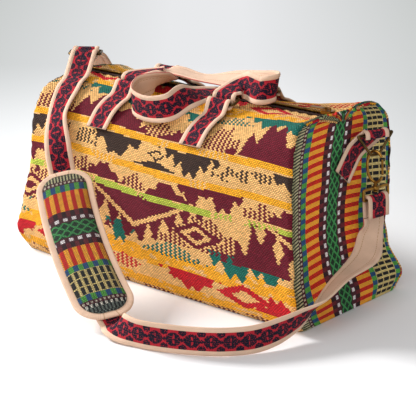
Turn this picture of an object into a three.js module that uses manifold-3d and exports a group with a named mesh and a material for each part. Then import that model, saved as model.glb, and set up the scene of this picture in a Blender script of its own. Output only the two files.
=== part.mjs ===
// Woven travel bag: a soft zipped holdall of patterned cloth with two short carrying handles,
// a long shoulder strap on snap hooks and a sliding shoulder pad.
// Millimetres, +Z up. The origin is the middle of the base on the floor, +X runs along the bag
// to its right end and -Y is the front.
import * as THREE from 'three';
import Module from 'manifold-3d';
import { mergeVertices } from 'three/addons/utils/BufferGeometryUtils.js';

const wasm = await Module();
wasm.setup();

// Body of the bag
const LENGTH = 500; // between the end panels at half height
const DEPTH = 250; // front to back, on the floor
const HEIGHT = 271; // floor to the zip
const CLOTH = 3; // thickness of the woven panels
const SEAM_GAP = 0.4; // room left between two pieces that are sewn or rest together
const FLOOR_GAP = 0.6; // the side panels stop this far above the floor
const END_DENT = 14; // how far the middle of an end panel sinks in

// Zip
const ZIP_LENGTH = 478;
const TAPE_WIDTH = 9;
const TAPE_THICKNESS = 1;
const TOOTH_WIDTH = 2.6;
const TOOTH_HEIGHT = 3;
const STOP_LENGTH = 4;
const SLIDER_LENGTH = 16;
const SLIDER_WIDTH = 12;
const SLIDER_PLATE = 2;
const BAIL_REACH = 4; // posts of the bail, from its middle
const BAIL_WIRE = 1.5;
const PULL_LENGTH = 30;
const PULL_WIDTH = 9;
const PULL_THICKNESS = 1.6;

// Straps, tabs and handles
const STRAP_WIDTH = 40;
const STRAP_THICKNESS = 2.6; // woven band on its lining
const STRAP_EDGE = 8.5; // width of the rolled tan edge
const EDGE_THICKNESS = 4; // thickness of that edge
const TAB_SPACING = 180; // between the two tabs of one handle
const HANDLE_OFFSET = -16; // middle of the handles, along the bag
const TAB_START = 0.928; // sewn end of a handle tab, from the zip, as a share of half the depth
const TAB_END = 0.528; // where the tab leaves the cloth, likewise
const TAB_EASE = 1.4; // slack of a sewn strap over the curve of the cloth
const RING_LIFT = 3; // bar of a handle ring, above the cloth

// Handle rings
const WIRE = 4;
const RING_ROOM = 4; // spare width inside a ring beside its strap
const RING_OPENING = 12; // between the two bars of a handle ring
const RING_RISE = 0.12; // how far a ring stands up off the cloth, against its reach
const FRONT_RIGHT_TURN = 2; // degrees that the pulled handle turns its front right ring
const BAR_GAP = 1.2; // between a bar and the strap folded round it

// Shoulder strap hardware
const CLIP_INSET = 78; // bar of an end ring, in from the back of its end panel
const CLIP_DROP = 28; // bar of an end ring, below the zip
const CLIP_STAND = 17.5; // bar of an end ring, beyond half the length
const RING_TURN = 18; // degrees between the bar of an end ring and its end panel
const RING_FOOT = 9; // half of the foot of an end ring
const CLIP_LEAN = 3; // degrees that a clip leans out at its foot
const HOOK_TURN = 8; // degrees between a hook and the length of the bag
const EYE_TURN = 80; // degrees between the bar of a swivel eye and the length of the bag
const TRIANGLE_HEIGHT = 29;
const HOOK_HEIGHT = 44.5;
const HOOK_WIDTH = 25;
const GATE_ANGLE = 38; // half of the opening that the gate closes, in degrees
const POST_RADIUS = 2.3;
const POST_LENGTH = 12;
const COLLAR_RADIUS = 5;
const COLLAR_HEIGHT = 5;
const EYE_OPENING = 11;

const SEWN_END = 26; // sewn end of the shoulder strap below its eye
const SEWN_LEAD = 12; // straight run of the strap below that end
const END_TAB_FOOT = [2, 84]; // sewn end of an end tab: behind the middle, below the zip

// Strap slider, on the left of the top
const SLIDER_AT = [8, -2]; // from the left end, and back from the zip
const SLIDER_RISE = 25; // above the zip
const SLIDER_HEADING = 37; // degrees that the strap runs back from the end of the bag
const SLOT = 9; // opening between two bars

// Shoulder pad
const PAD_TOP = [111, 33, 114]; // from the left end, out from the front, below the zip
const PAD_FOOT = [175, 153, 21]; // from the right end, out from the front, above the floor
const PAD_BEND = 11; // how far the middle of the pad swings out to the left
const PAD_WIDTH = 83;
const PAD_CORNER = 34;
const PAD_BASE = 4; // thickness of the tan backing
const PAD_BORDER = 9; // tan border round the woven insert
const PAD_CROWN = 8; // height of the insert in its middle
const PAD_RIM = 1; // thickness of the insert at its edge
const PAD_FACING = [0.76, 0.65, 0]; // the way the width of the pad points, seen from above
const KEEPER_LENGTH = 16;
const KEEPER_THICKNESS = 1.6;

// Finishes
const finish = (color, roughness, metalness = 0) => ({ color, roughness, metalness });
const WOVEN = finish(0xc9904f, 0.95);
const STRIPED = finish(0x6b3d2c, 0.95);
const BAND = finish(0x7a1e2c, 0.9);
const TAN = finish(0xcfae8c, 0.8);
const TAPE = finish(0x3a2a22, 0.9);
const BRONZE = finish(0x4b3d2c, 0.45, 1);
const BRASS = finish(0xa9853f, 0.35, 1);

const bag = new THREE.Group();
const vec = (x, y, z) => new THREE.Vector3(x, y, z);
const mix = THREE.MathUtils.lerp;
const radians = THREE.MathUtils.degToRad;

// One named piece of the bag
function piece(name, geometry, look, parent = bag) {
  const mesh = new THREE.Mesh(geometry, new THREE.MeshStandardMaterial(look));
  mesh.name = name;
  parent.add(mesh);
  return mesh;
}

// Closed geometry from points and triangles, turned so that its faces point out
function closed(points, triangles) {
  let volume = 0;
  for (let i = 0; i < triangles.length; i += 3) {
    const [a, b, c] = [points[triangles[i]], points[triangles[i + 1]], points[triangles[i + 2]]];
    volume += a.dot(b.clone().cross(c));
  }
  const geometry = new THREE.BufferGeometry().setFromPoints(points);
  geometry.setIndex(volume < 0 ? triangles.toReversed() : triangles);
  geometry.computeVertexNormals();
  return geometry;
}

// Slab between two grids of points with the same rows and columns
function slab(upper, lower) {
  const rows = upper.length;
  const columns = upper[0].length;
  const points = [...upper.flat(), ...lower.flat()];
  const top = (i, j) => i * columns + j;
  const under = (i, j) => rows * columns + i * columns + j;
  const triangles = [];
  const quad = (a, b, c, d) => triangles.push(a, b, c, a, c, d);
  for (let i = 0; i + 1 < rows; i++) {
    for (let j = 0; j + 1 < columns; j++) {
      quad(top(i, j), top(i, j + 1), top(i + 1, j + 1), top(i + 1, j));
      quad(under(i, j), under(i + 1, j), under(i + 1, j + 1), under(i, j + 1));
    }
    quad(top(i, 0), top(i + 1, 0), under(i + 1, 0), under(i, 0));
    quad(top(i + 1, columns - 1), top(i, columns - 1), under(i, columns - 1), under(i + 1, columns - 1));
  }
  for (let j = 0; j + 1 < columns; j++) {
    quad(top(0, j + 1), top(0, j), under(0, j), under(0, j + 1));
    quad(top(rows - 1, j), top(rows - 1, j + 1), under(rows - 1, j + 1), under(rows - 1, j));
  }
  return closed(points, triangles);
}

// Cloth of the given thickness whose outer face is point(u, v), for u and v from 0 to 1
function cloth(point, across, up, inside) {
  const outer = [];
  const inner = [];
  const step = 1e-3;
  for (let i = 0; i <= across; i++) {
    outer.push([]);
    inner.push([]);
    for (let j = 0; j <= up; j++) {
      const u = i / across;
      const v = j / up;
      const p = point(u, v);
      const du = point(Math.min(u + step, 1), v).sub(point(Math.max(u - step, 0), v));
      const dv = point(u, Math.min(v + step, 1)).sub(point(u, Math.max(v - step, 0)));
      const normal = du.cross(dv).normalize();
      if (normal.dot(inside.clone().sub(p)) < 0) normal.negate();
      outer[i].push(p);
      inner[i].push(p.clone().addScaledVector(normal, CLOTH));
    }
  }
  return slab(outer, inner);
}

// Flat plate from an outline, with bevelled edges, its thickness centred on zero
function plate(shape, thickness, bevel, segments = 2) {
  const geometry = new THREE.ExtrudeGeometry(shape, {
    depth: thickness - 2 * bevel,
    bevelEnabled: bevel > 0,
    bevelThickness: bevel,
    bevelSize: bevel,
    bevelOffset: -bevel,
    bevelSegments: 1,
    curveSegments: segments,
  });
  return geometry.translate(0, 0, bevel - thickness / 2);
}

// Turns a plate so that its outline lies in the plane of a clip: across it and up
const upright = (geometry, across) => geometry.applyMatrix4(
  new THREE.Matrix4().makeBasis(across, vec(0, 0, 1), across.clone().cross(vec(0, 0, 1))));

function solidOf(geometry) {
  const bare = geometry.clone();
  bare.deleteAttribute('normal');
  bare.deleteAttribute('uv');
  const merged = mergeVertices(bare, 1e-4);
  return new wasm.Manifold(new wasm.Mesh({
    numProp: 3,
    vertProperties: new Float32Array(merged.attributes.position.array),
    triVerts: new Uint32Array(merged.index.array),
  }));
}

function geometryOf(solid) {
  const mesh = solid.getMesh();
  const geometry = new THREE.BufferGeometry();
  geometry.setAttribute('position', new THREE.BufferAttribute(new Float32Array(mesh.vertProperties), 3));
  geometry.setIndex(new THREE.BufferAttribute(new Uint32Array(mesh.triVerts), 1));
  geometry.computeVertexNormals();
  return geometry;
}

function join(first, ...others) {
  let result = solidOf(first);
  for (const other of others) result = result.add(solidOf(other));
  return geometryOf(result);
}

// Rectangle with round corners, as a path that runs once round
function roundedBox(path, width, height, radius) {
  const x = width / 2;
  const y = height / 2;
  path.moveTo(x - radius, -y);
  path.absarc(x - radius, radius - y, radius, -Math.PI / 2, 0);
  path.absarc(x - radius, y - radius, radius, 0, Math.PI / 2);
  path.absarc(radius - x, y - radius, radius, Math.PI / 2, Math.PI);
  path.absarc(radius - x, radius - y, radius, Math.PI, 1.5 * Math.PI);
  return path;
}

// Outline of the body. Each station is half of a cross-section, from the floor up to the edge of
// the zip: out from the middle as a share of half the depth, up as a share of the height.
const STATIONS = {
  front: {
    left: [[0.87, 0], [1.04, 0.135], [1, 0.3], [0.91, 0.55], [0.91, 0.715], [0.85, 0.84],
      [0.69, 0.95], [0.42, 0.985], [0.22, 0.995], [0.1, 1]],
    middle: [[0.95, 0], [1.06, 0.104], [1.09, 0.311], [1.07, 0.54], [1.02, 0.705], [0.9, 0.84],
      [0.64, 0.92], [0.36, 0.97], [0.19, 0.99], [0.1, 1]],
    right: [[0.93, 0], [1.09, 0.104], [1.07, 0.3], [1.02, 0.54], [0.98, 0.747], [0.92, 0.923],
      [0.79, 1.02], [0.5, 1.04], [0.24, 1.02], [0.1, 1]],
  },
  back: {
    left: [[0.92, 0], [1.1, 0.125], [1.06, 0.3], [0.99, 0.55], [0.95, 0.735], [0.87, 0.89],
      [0.72, 0.96], [0.42, 0.99], [0.22, 0.997], [0.1, 1]],
    middle: [[0.95, 0], [1.07, 0.104], [1.09, 0.311], [1.06, 0.54], [1.01, 0.715], [0.9, 0.85],
      [0.68, 0.92], [0.4, 0.965], [0.2, 0.985], [0.1, 1]],
    right: [[0.86, 0], [0.96, 0.1], [0.79, 0.26], [0.74, 0.4], [0.86, 0.6], [0.9, 0.8],
      [0.84, 0.95], [0.62, 1.035], [0.29, 1.04], [0.1, 1]],
  },
};
const STATION_POWER = 2; // how late along the bag its section turns into that of an end

// How far an end stands out beyond half the length, against its height from the floor to the zip
const FLARE = [[17, 0], [22, 0.104], [13, 0.29], [4, 0.54], [-1, 0.736], [-4, 0.923], [-8, 1.07]];

function curve(points) {
  return new THREE.SplineCurve(points.map(([a, b]) => new THREE.Vector2(a, b)));
}
const sections = {};
for (const side of ['front', 'back']) {
  sections[side] = {};
  for (const at of ['left', 'middle', 'right']) sections[side][at] = curve(STATIONS[side][at]);
}

function flare(z) {
  const share = z / HEIGHT;
  for (let i = 0; i + 1 < FLARE.length; i++) {
    const [low, a] = FLARE[i];
    const [high, b] = FLARE[i + 1];
    if (share <= b) return mix(low, high, THREE.MathUtils.smoothstep(share, a, b));
  }
  return FLARE.at(-1)[0];
}

// Point on the front or back cloth, for u from -1 (left) to 1 (right) and v from the floor to the zip
function wall(side, u, v) {
  const middle = sections[side].middle.getPoint(v);
  const end = sections[side][u < 0 ? 'left' : 'right'].getPoint(v);
  const section = middle.lerp(end, Math.abs(u) ** STATION_POWER);
  const out = section.x * DEPTH / 2;
  const z = FLOOR_GAP + section.y * (HEIGHT - FLOOR_GAP);
  return vec(u * (LENGTH / 2 + flare(z)), side === 'front' ? -out : out, z);
}

// Point on an end panel, for a from -1 (front seam) to 1 (back seam)
function endWall(end, a, v) {
  const front = wall('front', end, v);
  const back = wall('back', end, v);
  const p = front.lerp(back, (a + 1) / 2);
  p.x -= end * END_DENT * (1 - a ** 2) * Math.sin(Math.PI * Math.min(p.z / HEIGHT, 1));
  return p;
}

// Point of the front or back cloth over the given place in plan, and the way that it faces there
function roof(side, x, out) {
  let low = 0.3;
  let high = 1;
  let u = x / (LENGTH / 2);
  for (let i = 0; i < 40; i++) {
    const v = (low + high) / 2;
    const p = wall(side, u, v);
    u = x / (LENGTH / 2 + flare(p.z));
    if (Math.abs(p.y) > out) low = v;
    else high = v;
  }
  const v = (low + high) / 2;
  const step = 1e-3;
  const along = wall(side, u + step, v).sub(wall(side, u - step, v));
  const up = wall(side, u, v + step).sub(wall(side, u, v - step));
  const normal = along.cross(up).normalize();
  if (normal.z < 0) normal.negate();
  return { point: wall(side, u, v), normal };
}

// Woven panels
const inside = vec(0, 0, HEIGHT / 2);
const SIDE_COLUMNS = 16;
const SIDE_ROWS = 18;
const END_COLUMNS = 8;
const seam = SEAM_GAP / LENGTH; // the gap at a seam, as a share of the length
for (const side of ['front', 'back']) {
  const point = (u, v) => wall(side, mix(-1 + seam, 1 - seam, u), v);
  piece(`${side}_panel`, cloth(point, SIDE_COLUMNS, SIDE_ROWS, inside), WOVEN);
}
// Outer face of an end panel, beyond the ends of the side panels that it is sewn to
const endStand = 2 * SEAM_GAP + CLOTH;
function endPanel(name, end) {
  const point = (a, v) => {
    const p = endWall(end, mix(-1, 1, a), v);
    p.x += end * endStand;
    return p;
  };
  piece(name, cloth(point, END_COLUMNS, SIDE_ROWS, inside), STRIPED);
}
endPanel('end_panel_right', 1);
endPanel('end_panel_left', -1);

// Base panel, inside the foot of the walls
function basePanel() {
  const outline = [];
  const steps = 12;
  const inset = CLOTH + SEAM_GAP;
  for (const [side, from] of [['front', -1], ['back', 1]]) {
    for (let i = 0; i <= steps; i++) {
      const u = mix(from, -from, i / steps);
      const p = wall(side, u, 0);
      outline.push(new THREE.Vector2(p.x - Math.sign(u) * inset * Math.abs(u) ** 8, p.y - Math.sign(p.y) * inset));
    }
  }
  return new THREE.ExtrudeGeometry(new THREE.Shape(outline), { depth: CLOTH, bevelEnabled: false });
}
piece('base_panel', basePanel(), STRIPED);

// Zip along the top
function bar(length, width, height) {
  return new THREE.BoxGeometry(length, width, height);
}
const zipEdge = 0.1 * DEPTH / 2;
const toothLevel = HEIGHT + TAPE_THICKNESS / 2 + SEAM_GAP + TOOTH_HEIGHT / 2;
const toothMiddle = TOOTH_WIDTH / 2 + SEAM_GAP / 2;
const tapeMiddle = zipEdge - SEAM_GAP - TAPE_WIDTH / 2;
for (const [name, sign] of [['front', -1], ['back', 1]]) {
  const tape = bar(ZIP_LENGTH, TAPE_WIDTH, TAPE_THICKNESS).translate(0, sign * tapeMiddle, HEIGHT);
  piece(`zip_tape_${name}`, tape, TAPE);
  const teeth = bar(ZIP_LENGTH - 2 * STOP_LENGTH - 2 * SEAM_GAP, TOOTH_WIDTH, TOOTH_HEIGHT);
  piece(`zip_teeth_${name}`, teeth.translate(0, sign * toothMiddle, toothLevel), BRASS);
}
for (const [name, sign] of [['left', -1], ['right', 1]]) {
  const stop = bar(STOP_LENGTH, SLIDER_WIDTH, TOOTH_HEIGHT);
  piece(`zip_stop_${name}`, stop.translate(sign * (ZIP_LENGTH - STOP_LENGTH) / 2, 0, toothLevel), BRASS);
}

// Slider, with a bail for its pull, over the teeth at the right end
const sliderAt = ZIP_LENGTH / 2 - STOP_LENGTH - SLIDER_LENGTH / 2 - SLIDER_WIDTH / 2;
const plateLevel = toothLevel + TOOTH_HEIGHT / 2 + SEAM_GAP + SLIDER_PLATE / 2;
const flangeWidth = SLIDER_WIDTH / 2 - TOOTH_WIDTH - 2 * SEAM_GAP;
const flangeHeight = TOOTH_HEIGHT;
const pinLevel = plateLevel + SLIDER_PLATE / 2 + PULL_THICKNESS;
const rodLevel = pinLevel + PULL_THICKNESS + BAIL_WIRE / 2;
function slider() {
  const top = bar(SLIDER_LENGTH, SLIDER_WIDTH, SLIDER_PLATE).translate(0, 0, plateLevel);
  const flanges = [-1, 1].map((sign) => bar(SLIDER_LENGTH, flangeWidth, flangeHeight).translate(
    0, sign * (SLIDER_WIDTH - flangeWidth) / 2, plateLevel - SLIDER_PLATE / 2 - flangeHeight / 2 + SEAM_GAP));
  const posts = [-1, 1].map((sign) => bar(BAIL_WIRE, BAIL_WIRE, rodLevel - plateLevel).translate(
    sign * BAIL_REACH, 0, (rodLevel + plateLevel) / 2));
  const rod = bar(2 * BAIL_REACH + BAIL_WIRE, BAIL_WIRE, BAIL_WIRE).translate(0, 0, rodLevel);
  return join(top, ...flanges, ...posts, rod).translate(sliderAt, 0, 0);
}
piece('zip_slider', slider(), BRASS);

// Pull: a leaf that lies back along the zip. The bar at its end passes under the bail, and the
// slot behind that bar leaves room for a post of the bail.
function pull() {
  const shape = roundedBox(new THREE.Shape(), PULL_LENGTH, PULL_WIDTH, PULL_WIDTH / 3);
  const slotLength = 2 * BAIL_REACH;
  const pinAt = PULL_LENGTH / 2 - PULL_THICKNESS / 2;
  const slot = new THREE.Path();
  const slotEnd = pinAt - PULL_THICKNESS / 2;
  slot.moveTo(slotEnd, -2 * BAIL_WIRE);
  slot.lineTo(slotEnd, 2 * BAIL_WIRE);
  slot.lineTo(slotEnd - slotLength, 2 * BAIL_WIRE);
  slot.lineTo(slotEnd - slotLength, -2 * BAIL_WIRE);
  shape.holes.push(slot);
  return plate(shape, PULL_THICKNESS, 0).translate(sliderAt - pinAt, 0, pinLevel);
}
piece('zip_pull', pull(), BRASS);

// A strap along a route. Each stop gives the middle of the strap and the way its width points.
const half = STRAP_WIDTH / 2;
const stop = (p, w) => ({ p, w: w.clone().normalize() });
function strap(route, steps, width = STRAP_WIDTH) {
  const middle = new THREE.CatmullRomCurve3(route.map((r) => r.p), false, 'centripetal');
  const breadth = new THREE.CatmullRomCurve3(route.map((r) => r.w), false, 'centripetal');
  const columns = [
    [-width / 2, EDGE_THICKNESS / 2], [STRAP_EDGE - width / 2, STRAP_THICKNESS / 2],
    [width / 2 - STRAP_EDGE, STRAP_THICKNESS / 2], [width / 2, EDGE_THICKNESS / 2]];
  const upper = [];
  const lower = [];
  for (let i = 0; i <= steps; i++) {
    const t = i / steps;
    const p = middle.getPoint(t);
    const ahead = middle.getTangent(t);
    const w = breadth.getPoint(t);
    w.addScaledVector(ahead, -w.dot(ahead)).normalize();
    const face = w.clone().cross(ahead);
    upper.push(columns.map(([a, half]) => p.clone().addScaledVector(w, a).addScaledVector(face, half)));
    lower.push(columns.map(([a, half]) => p.clone().addScaledVector(w, a).addScaledVector(face, -half)));
  }
  return slab(upper, lower);
}

// Route of a strap folded round a bar: it comes in over the bar and its end tucks under
const FOLD_RADIUS = WIRE / 2 + BAR_GAP + EDGE_THICKNESS / 2;
const FOLD_STEPS = 4;
const FOLD_TAIL = 5;
function fold(centre, w, over, ahead, tailLength = FOLD_TAIL) {
  const route = [];
  for (let i = 0; i <= FOLD_STEPS; i++) {
    const angle = Math.PI * i / FOLD_STEPS;
    const p = centre.clone().addScaledVector(over, FOLD_RADIUS * Math.cos(angle));
    route.push(stop(p.addScaledVector(ahead, FOLD_RADIUS * Math.sin(angle)), w));
  }
  const tail = centre.clone().addScaledVector(over, -FOLD_RADIUS).addScaledVector(ahead, -tailLength);
  route.push(stop(tail, w));
  return route;
}

// Handle tabs and rings. A tab lies on the cloth, leaves it and folds round the bar of its ring.
const rings = {};
function handleMount(side, at, turn) {
  const inward = side === 'front' ? 1 : -1;
  const x = HANDLE_OFFSET + (at === 'left' ? -1 : 1) * TAB_SPACING / 2;
  const lie = EDGE_THICKNESS / 2 + SEAM_GAP + TAB_EASE;
  const route = [];
  for (const share of [0, 0.35, 0.7, 1]) {
    const { point, normal } = roof(side, x, mix(TAB_START, TAB_END, share) * DEPTH / 2);
    const w = vec(1, 0, 0).addScaledVector(normal, -normal.x);
    route.push(stop(point.addScaledVector(normal, lie), w));
  }
  const { point, normal } = roof(side, x, TAB_END * DEPTH / 2 - 2 * FOLD_RADIUS - FOLD_TAIL);
  const w = vec(Math.cos(turn), inward * Math.sin(turn), 0);
  const ahead = normal.clone().cross(w).normalize();
  if (ahead.y * inward < 0) ahead.negate();
  const bar = point.addScaledVector(normal, lie + FOLD_RADIUS + RING_LIFT);
  route.push(...fold(bar, w, normal, ahead));
  piece(`handle_tab_${side}_${at}`, strap(route, 26), BAND);

  const shape = roundedBox(new THREE.Shape(), ringWidth + 2 * WIRE, RING_OPENING + 2 * WIRE, WIRE);
  shape.holes.push(roundedBox(new THREE.Path(), ringWidth, RING_OPENING, WIRE / 2));
  const lean = ahead.clone().addScaledVector(normal, RING_RISE).normalize();
  const ring = plate(shape, WIRE, WIRE / 4).translate(0, (RING_OPENING + WIRE) / 2, 0);
  ring.applyMatrix4(new THREE.Matrix4().makeBasis(w, lean, w.clone().cross(lean)).setPosition(bar));
  piece(`handle_ring_${side}_${at}`, ring, BRONZE);
  const far = bar.clone().addScaledVector(lean, RING_OPENING + WIRE);
  rings[`${side}_${at}`] = { far, w, lean, over: lean.clone().cross(w).multiplyScalar(-inward), bar };
}
const ringWidth = STRAP_WIDTH + RING_ROOM;
handleMount('front', 'left', 0);
handleMount('front', 'right', radians(FRONT_RIGHT_TURN));
handleMount('back', 'left', 0);
handleMount('back', 'right', 0);

// Handles: each is folded round its two rings and lies over the top of the bag
function handle(side, stops) {
  const start = rings[`${side}_left`];
  const end = rings[`${side}_right`];
  const sign = side === 'front' ? 1 : -1;
  const first = start.w.clone().multiplyScalar(sign);
  const last = end.w.clone().multiplyScalar(-sign);
  const ends = [[start, first], [end, last]].map(([ring, w]) => {
    const beside = ring.far.clone().addScaledVector(ring.over, FOLD_RADIUS);
    const away = stop(beside.addScaledVector(ring.lean, FOLD_RADIUS), w);
    return [away, ...fold(ring.far, w, ring.over, ring.lean.clone().negate())];
  });
  piece(`handle_strap_${side}`, strap([...ends[0].reverse(), ...stops, ...ends[1]], 76), BAND);
}
// Stop of a handle over the given place, back from the zip as a share of half the depth. Its lower
// edge is lifted that far off the cloth or the teeth.
function over(x, share, lift, breadth) {
  const y = share * DEPTH / 2;
  const w = breadth.normalize();
  const out = Math.abs(y);
  const cloth = roof(y < 0 ? 'front' : 'back', x, Math.max(out, zipEdge)).point.z;
  const bed = out < half ? Math.max(cloth, toothLevel + TOOTH_HEIGHT / 2) : cloth;
  return stop(vec(x, y, bed + lift + half * Math.abs(w.z) + EDGE_THICKNESS / 2), w);
}
handle('front', [
  over(-98, -0.096, 10, vec(0.95, -0.1, 0.1)),
  over(-72, 0.064, 14, vec(0.7, 0.7, 0)),
  over(-20, 0.09, 10, vec(0, 1, 0)),
  over(40, 0.08, 9, vec(0, 0.9, 0.4)),
  over(92, 0.06, 4, vec(0, 0.65, 0.75)),
  over(126, 0.03, 2, vec(0.1, 0.25, 0.95)),
  over(138, -0.08, 2, vec(0.15, 0, 1)),
  over(122, -0.2, 3, vec(0, 0.3, 0.95)),
  over(86, -0.14, 11, vec(-0.85, 0.2, 0.4)),
]);
handle('back', [
  over(-84, 0.048, 2, vec(-0.95, -0.3, 0)),
  over(-60, -0.176, 2, vec(-0.8, -0.4, -0.3)),
  over(-46, -0.4, 7, vec(-0.6, -0.1, -0.8)),
  over(-58, -0.656, 8, vec(-0.1, 0, -1)),
  over(-48, -0.816, 8, vec(0, 0.1, -1)),
  over(-14, -0.864, 8, vec(0, 0.15, -1)),
  over(20, -0.8, 8, vec(0.1, 0, -1)),
  over(26, -0.576, 8, vec(0.6, 0, -0.8)),
  over(26, -0.272, 3, vec(0.95, 0.1, -0.3)),
  over(52, 0.048, 2, vec(0.95, -0.2, 0)),
]);

// Clip at an end of the shoulder strap. The end ring hangs from its bar, at zero, across X. The hook
// hangs from the foot of the ring, at zero, and reaches out along X. The eye turns on the post of the
// hook, and its bar lies along X.
const apex = -TRIANGLE_HEIGHT;
const hookTop = WIRE + BAR_GAP;
const hookMiddle = hookTop - HOOK_HEIGHT / 2;
const hookFoot = hookTop - HOOK_HEIGHT;
const collarTop = hookFoot - WIRE / 2 - SEAM_GAP - 3;
const collarFoot = collarTop - COLLAR_HEIGHT;
const eyeLevel = collarFoot + COLLAR_HEIGHT / 2;
const eyeBar = eyeLevel - EYE_OPENING - WIRE;
const clipAcross = vec(0, 1, 0);
const clipOut = vec(1, 0, 0);

// The two legs of the end ring slope in from its bar to its foot
const LEG = 1.15 * WIRE; // a leg, measured along the bar
function triangle() {
  const high = WIRE / 2;
  const low = apex - WIRE / 2;
  const legAt = (z) => mix(RING_FOOT, ringWidth / 2 + 2.5 * WIRE, (z - low) / (high - low));
  const outline = (path, inset, leg) => {
    path.moveTo(leg - legAt(high - inset), high - inset);
    path.lineTo(leg - legAt(low + inset), low + inset);
    path.lineTo(legAt(low + inset) - leg, low + inset);
    path.lineTo(legAt(high - inset) - leg, high - inset);
    return path;
  };
  const shape = outline(new THREE.Shape(), 0, 0);
  shape.holes.push(outline(new THREE.Path(), WIRE, LEG));
  return upright(plate(shape, WIRE, WIRE / 5), clipAcross);
}

function hook() {
  const shape = new THREE.Shape();
  const opening = radians(GATE_ANGLE);
  const across = HOOK_WIDTH / 2;
  const up = HOOK_HEIGHT / 2;
  const grip = WIRE / 2;
  shape.absellipse(0, hookMiddle, across + grip, up + grip, opening, 2 * Math.PI - opening, false);
  shape.absellipse(0, hookMiddle, across - grip, up - grip, 2 * Math.PI - opening, opening, true);
  const body = upright(plate(shape, WIRE, WIRE / 4, 7), clipOut);
  const cylinder = (radius, height, z) => new THREE.CylinderGeometry(radius, radius, height, 10)
    .rotateX(Math.PI / 2).translate(0, 0, z);
  const post = cylinder(POST_RADIUS, POST_LENGTH, hookFoot - POST_LENGTH / 2);
  const head = cylinder(COLLAR_RADIUS - 1, 2, hookFoot - POST_LENGTH - 0.5);
  return join(body, post, head);
}
const gateFoot = hookMiddle - HOOK_HEIGHT / 2 * Math.sin(radians(GATE_ANGLE)) + WIRE;
const gateX = HOOK_WIDTH / 2 * Math.cos(radians(GATE_ANGLE)) + WIRE / 4;
function gate() {
  const length = 2 * (hookMiddle - gateFoot) + WIRE / 2;
  const shape = roundedBox(new THREE.Shape(), WIRE * 0.8, length, WIRE * 0.39);
  return upright(plate(shape, WIRE * 0.8, 0), clipOut).translate(gateX, 0, hookMiddle);
}

function eye() {
  const ring = [[POST_RADIUS + SEAM_GAP, collarFoot], [COLLAR_RADIUS, collarFoot],
    [COLLAR_RADIUS, collarTop], [POST_RADIUS + SEAM_GAP, collarTop], [POST_RADIUS + SEAM_GAP, collarFoot]];
  const collar = new THREE.LatheGeometry(ring.map(([r, z]) => new THREE.Vector2(r, z)), 10)
    .rotateX(Math.PI / 2);
  const loop = (path, width, height) => roundedBox(path, width, height, WIRE / 2);
  const shape = loop(new THREE.Shape(), ringWidth + 2 * WIRE, EYE_OPENING + 2 * WIRE);
  shape.holes.push(loop(new THREE.Path(), ringWidth, EYE_OPENING));
  const frame = upright(plate(shape, WIRE, WIRE / 4), clipOut).translate(0, 0, (eyeLevel + eyeBar) / 2);
  const bore = new THREE.CylinderGeometry(POST_RADIUS + SEAM_GAP, POST_RADIUS + SEAM_GAP, COLLAR_HEIGHT + 4, 10)
    .rotateX(Math.PI / 2).translate(0, 0, eyeLevel);
  return geometryOf(solidOf(frame).subtract(solidOf(bore)).add(solidOf(collar)));
}

const clips = {};
function clip(name, end) {
  const frame = (position, turn) => {
    const group = new THREE.Group();
    group.position.copy(position);
    group.rotation.set(0, -radians(CLIP_LEAN), radians(turn) + (end < 0 ? Math.PI : 0), 'ZYX');
    group.updateMatrix();
    bag.add(group);
    return group;
  };
  const ringFrame = frame(vec(end * (LENGTH / 2 + CLIP_STAND), DEPTH / 2 - CLIP_INSET, HEIGHT - CLIP_DROP), -RING_TURN);
  const foot = vec(0, 0, apex).applyMatrix4(ringFrame.matrix);
  const hookFrame = frame(foot, HOOK_TURN);
  const eyeFrame = frame(foot, EYE_TURN);
  eyeFrame.quaternion.copy(hookFrame.quaternion);
  eyeFrame.rotateZ(radians(EYE_TURN - HOOK_TURN));
  eyeFrame.updateMatrix();
  piece(`end_ring_${name}`, triangle(), BRONZE, ringFrame);
  piece(`hook_${name}`, hook(), BRASS, hookFrame);
  piece(`hook_gate_${name}`, gate(), BRASS, hookFrame);
  piece(`swivel_eye_${name}`, eye(), BRASS, eyeFrame);
  clips[name] = { ring: ringFrame.matrix, hook: hookFrame.matrix, eye: eyeFrame.matrix };
}
clip('right', 1);
clip('left', -1);

// End tabs: each runs up its end panel and folds round the bar of the end ring
function endFace(end, y, z) {
  let low = 0;
  let high = 0.75;
  let a = 2 * y / DEPTH;
  for (let i = 0; i < 40; i++) {
    const v = (low + high) / 2;
    const front = wall('front', end, v).y;
    const back = wall('back', end, v).y;
    a = 2 * (y - front) / (back - front) - 1;
    if (endWall(end, a, v).z < z) low = v;
    else high = v;
  }
  const p = endWall(end, a, low);
  p.x += end * endStand;
  return p;
}
function endTab(name, end) {
  const { ring } = clips[name];
  const bar = vec(0, 0, 0).applyMatrix4(ring);
  const w = clipAcross.clone().transformDirection(ring);
  const inner = clipOut.clone().transformDirection(ring).negate();
  const ahead = w.clone().cross(inner);
  const [y0, drop] = END_TAB_FOOT;
  const z0 = HEIGHT - drop;
  const slant = vec(0, bar.y - y0, bar.z - z0).normalize();
  const across = vec(0, slant.z, -slant.y).multiplyScalar(end * half);
  const route = [0, 0.3, 0.6].map((share) => {
    const y = mix(y0, bar.y, share);
    const z = mix(z0, bar.z, share);
    const [low, middle, high] = [-1, 0, 1].map((edge) => endFace(end, y + edge * across.y, z + edge * across.z));
    middle.x += end * (EDGE_THICKNESS / 2 + SEAM_GAP + TAB_EASE);
    return stop(middle, high.sub(low));
  });
  piece(`end_tab_${name}`, strap([...route, ...fold(bar, w, inner, ahead)], 20), BAND);
}
endTab('right', 1);
endTab('left', -1);

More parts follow.
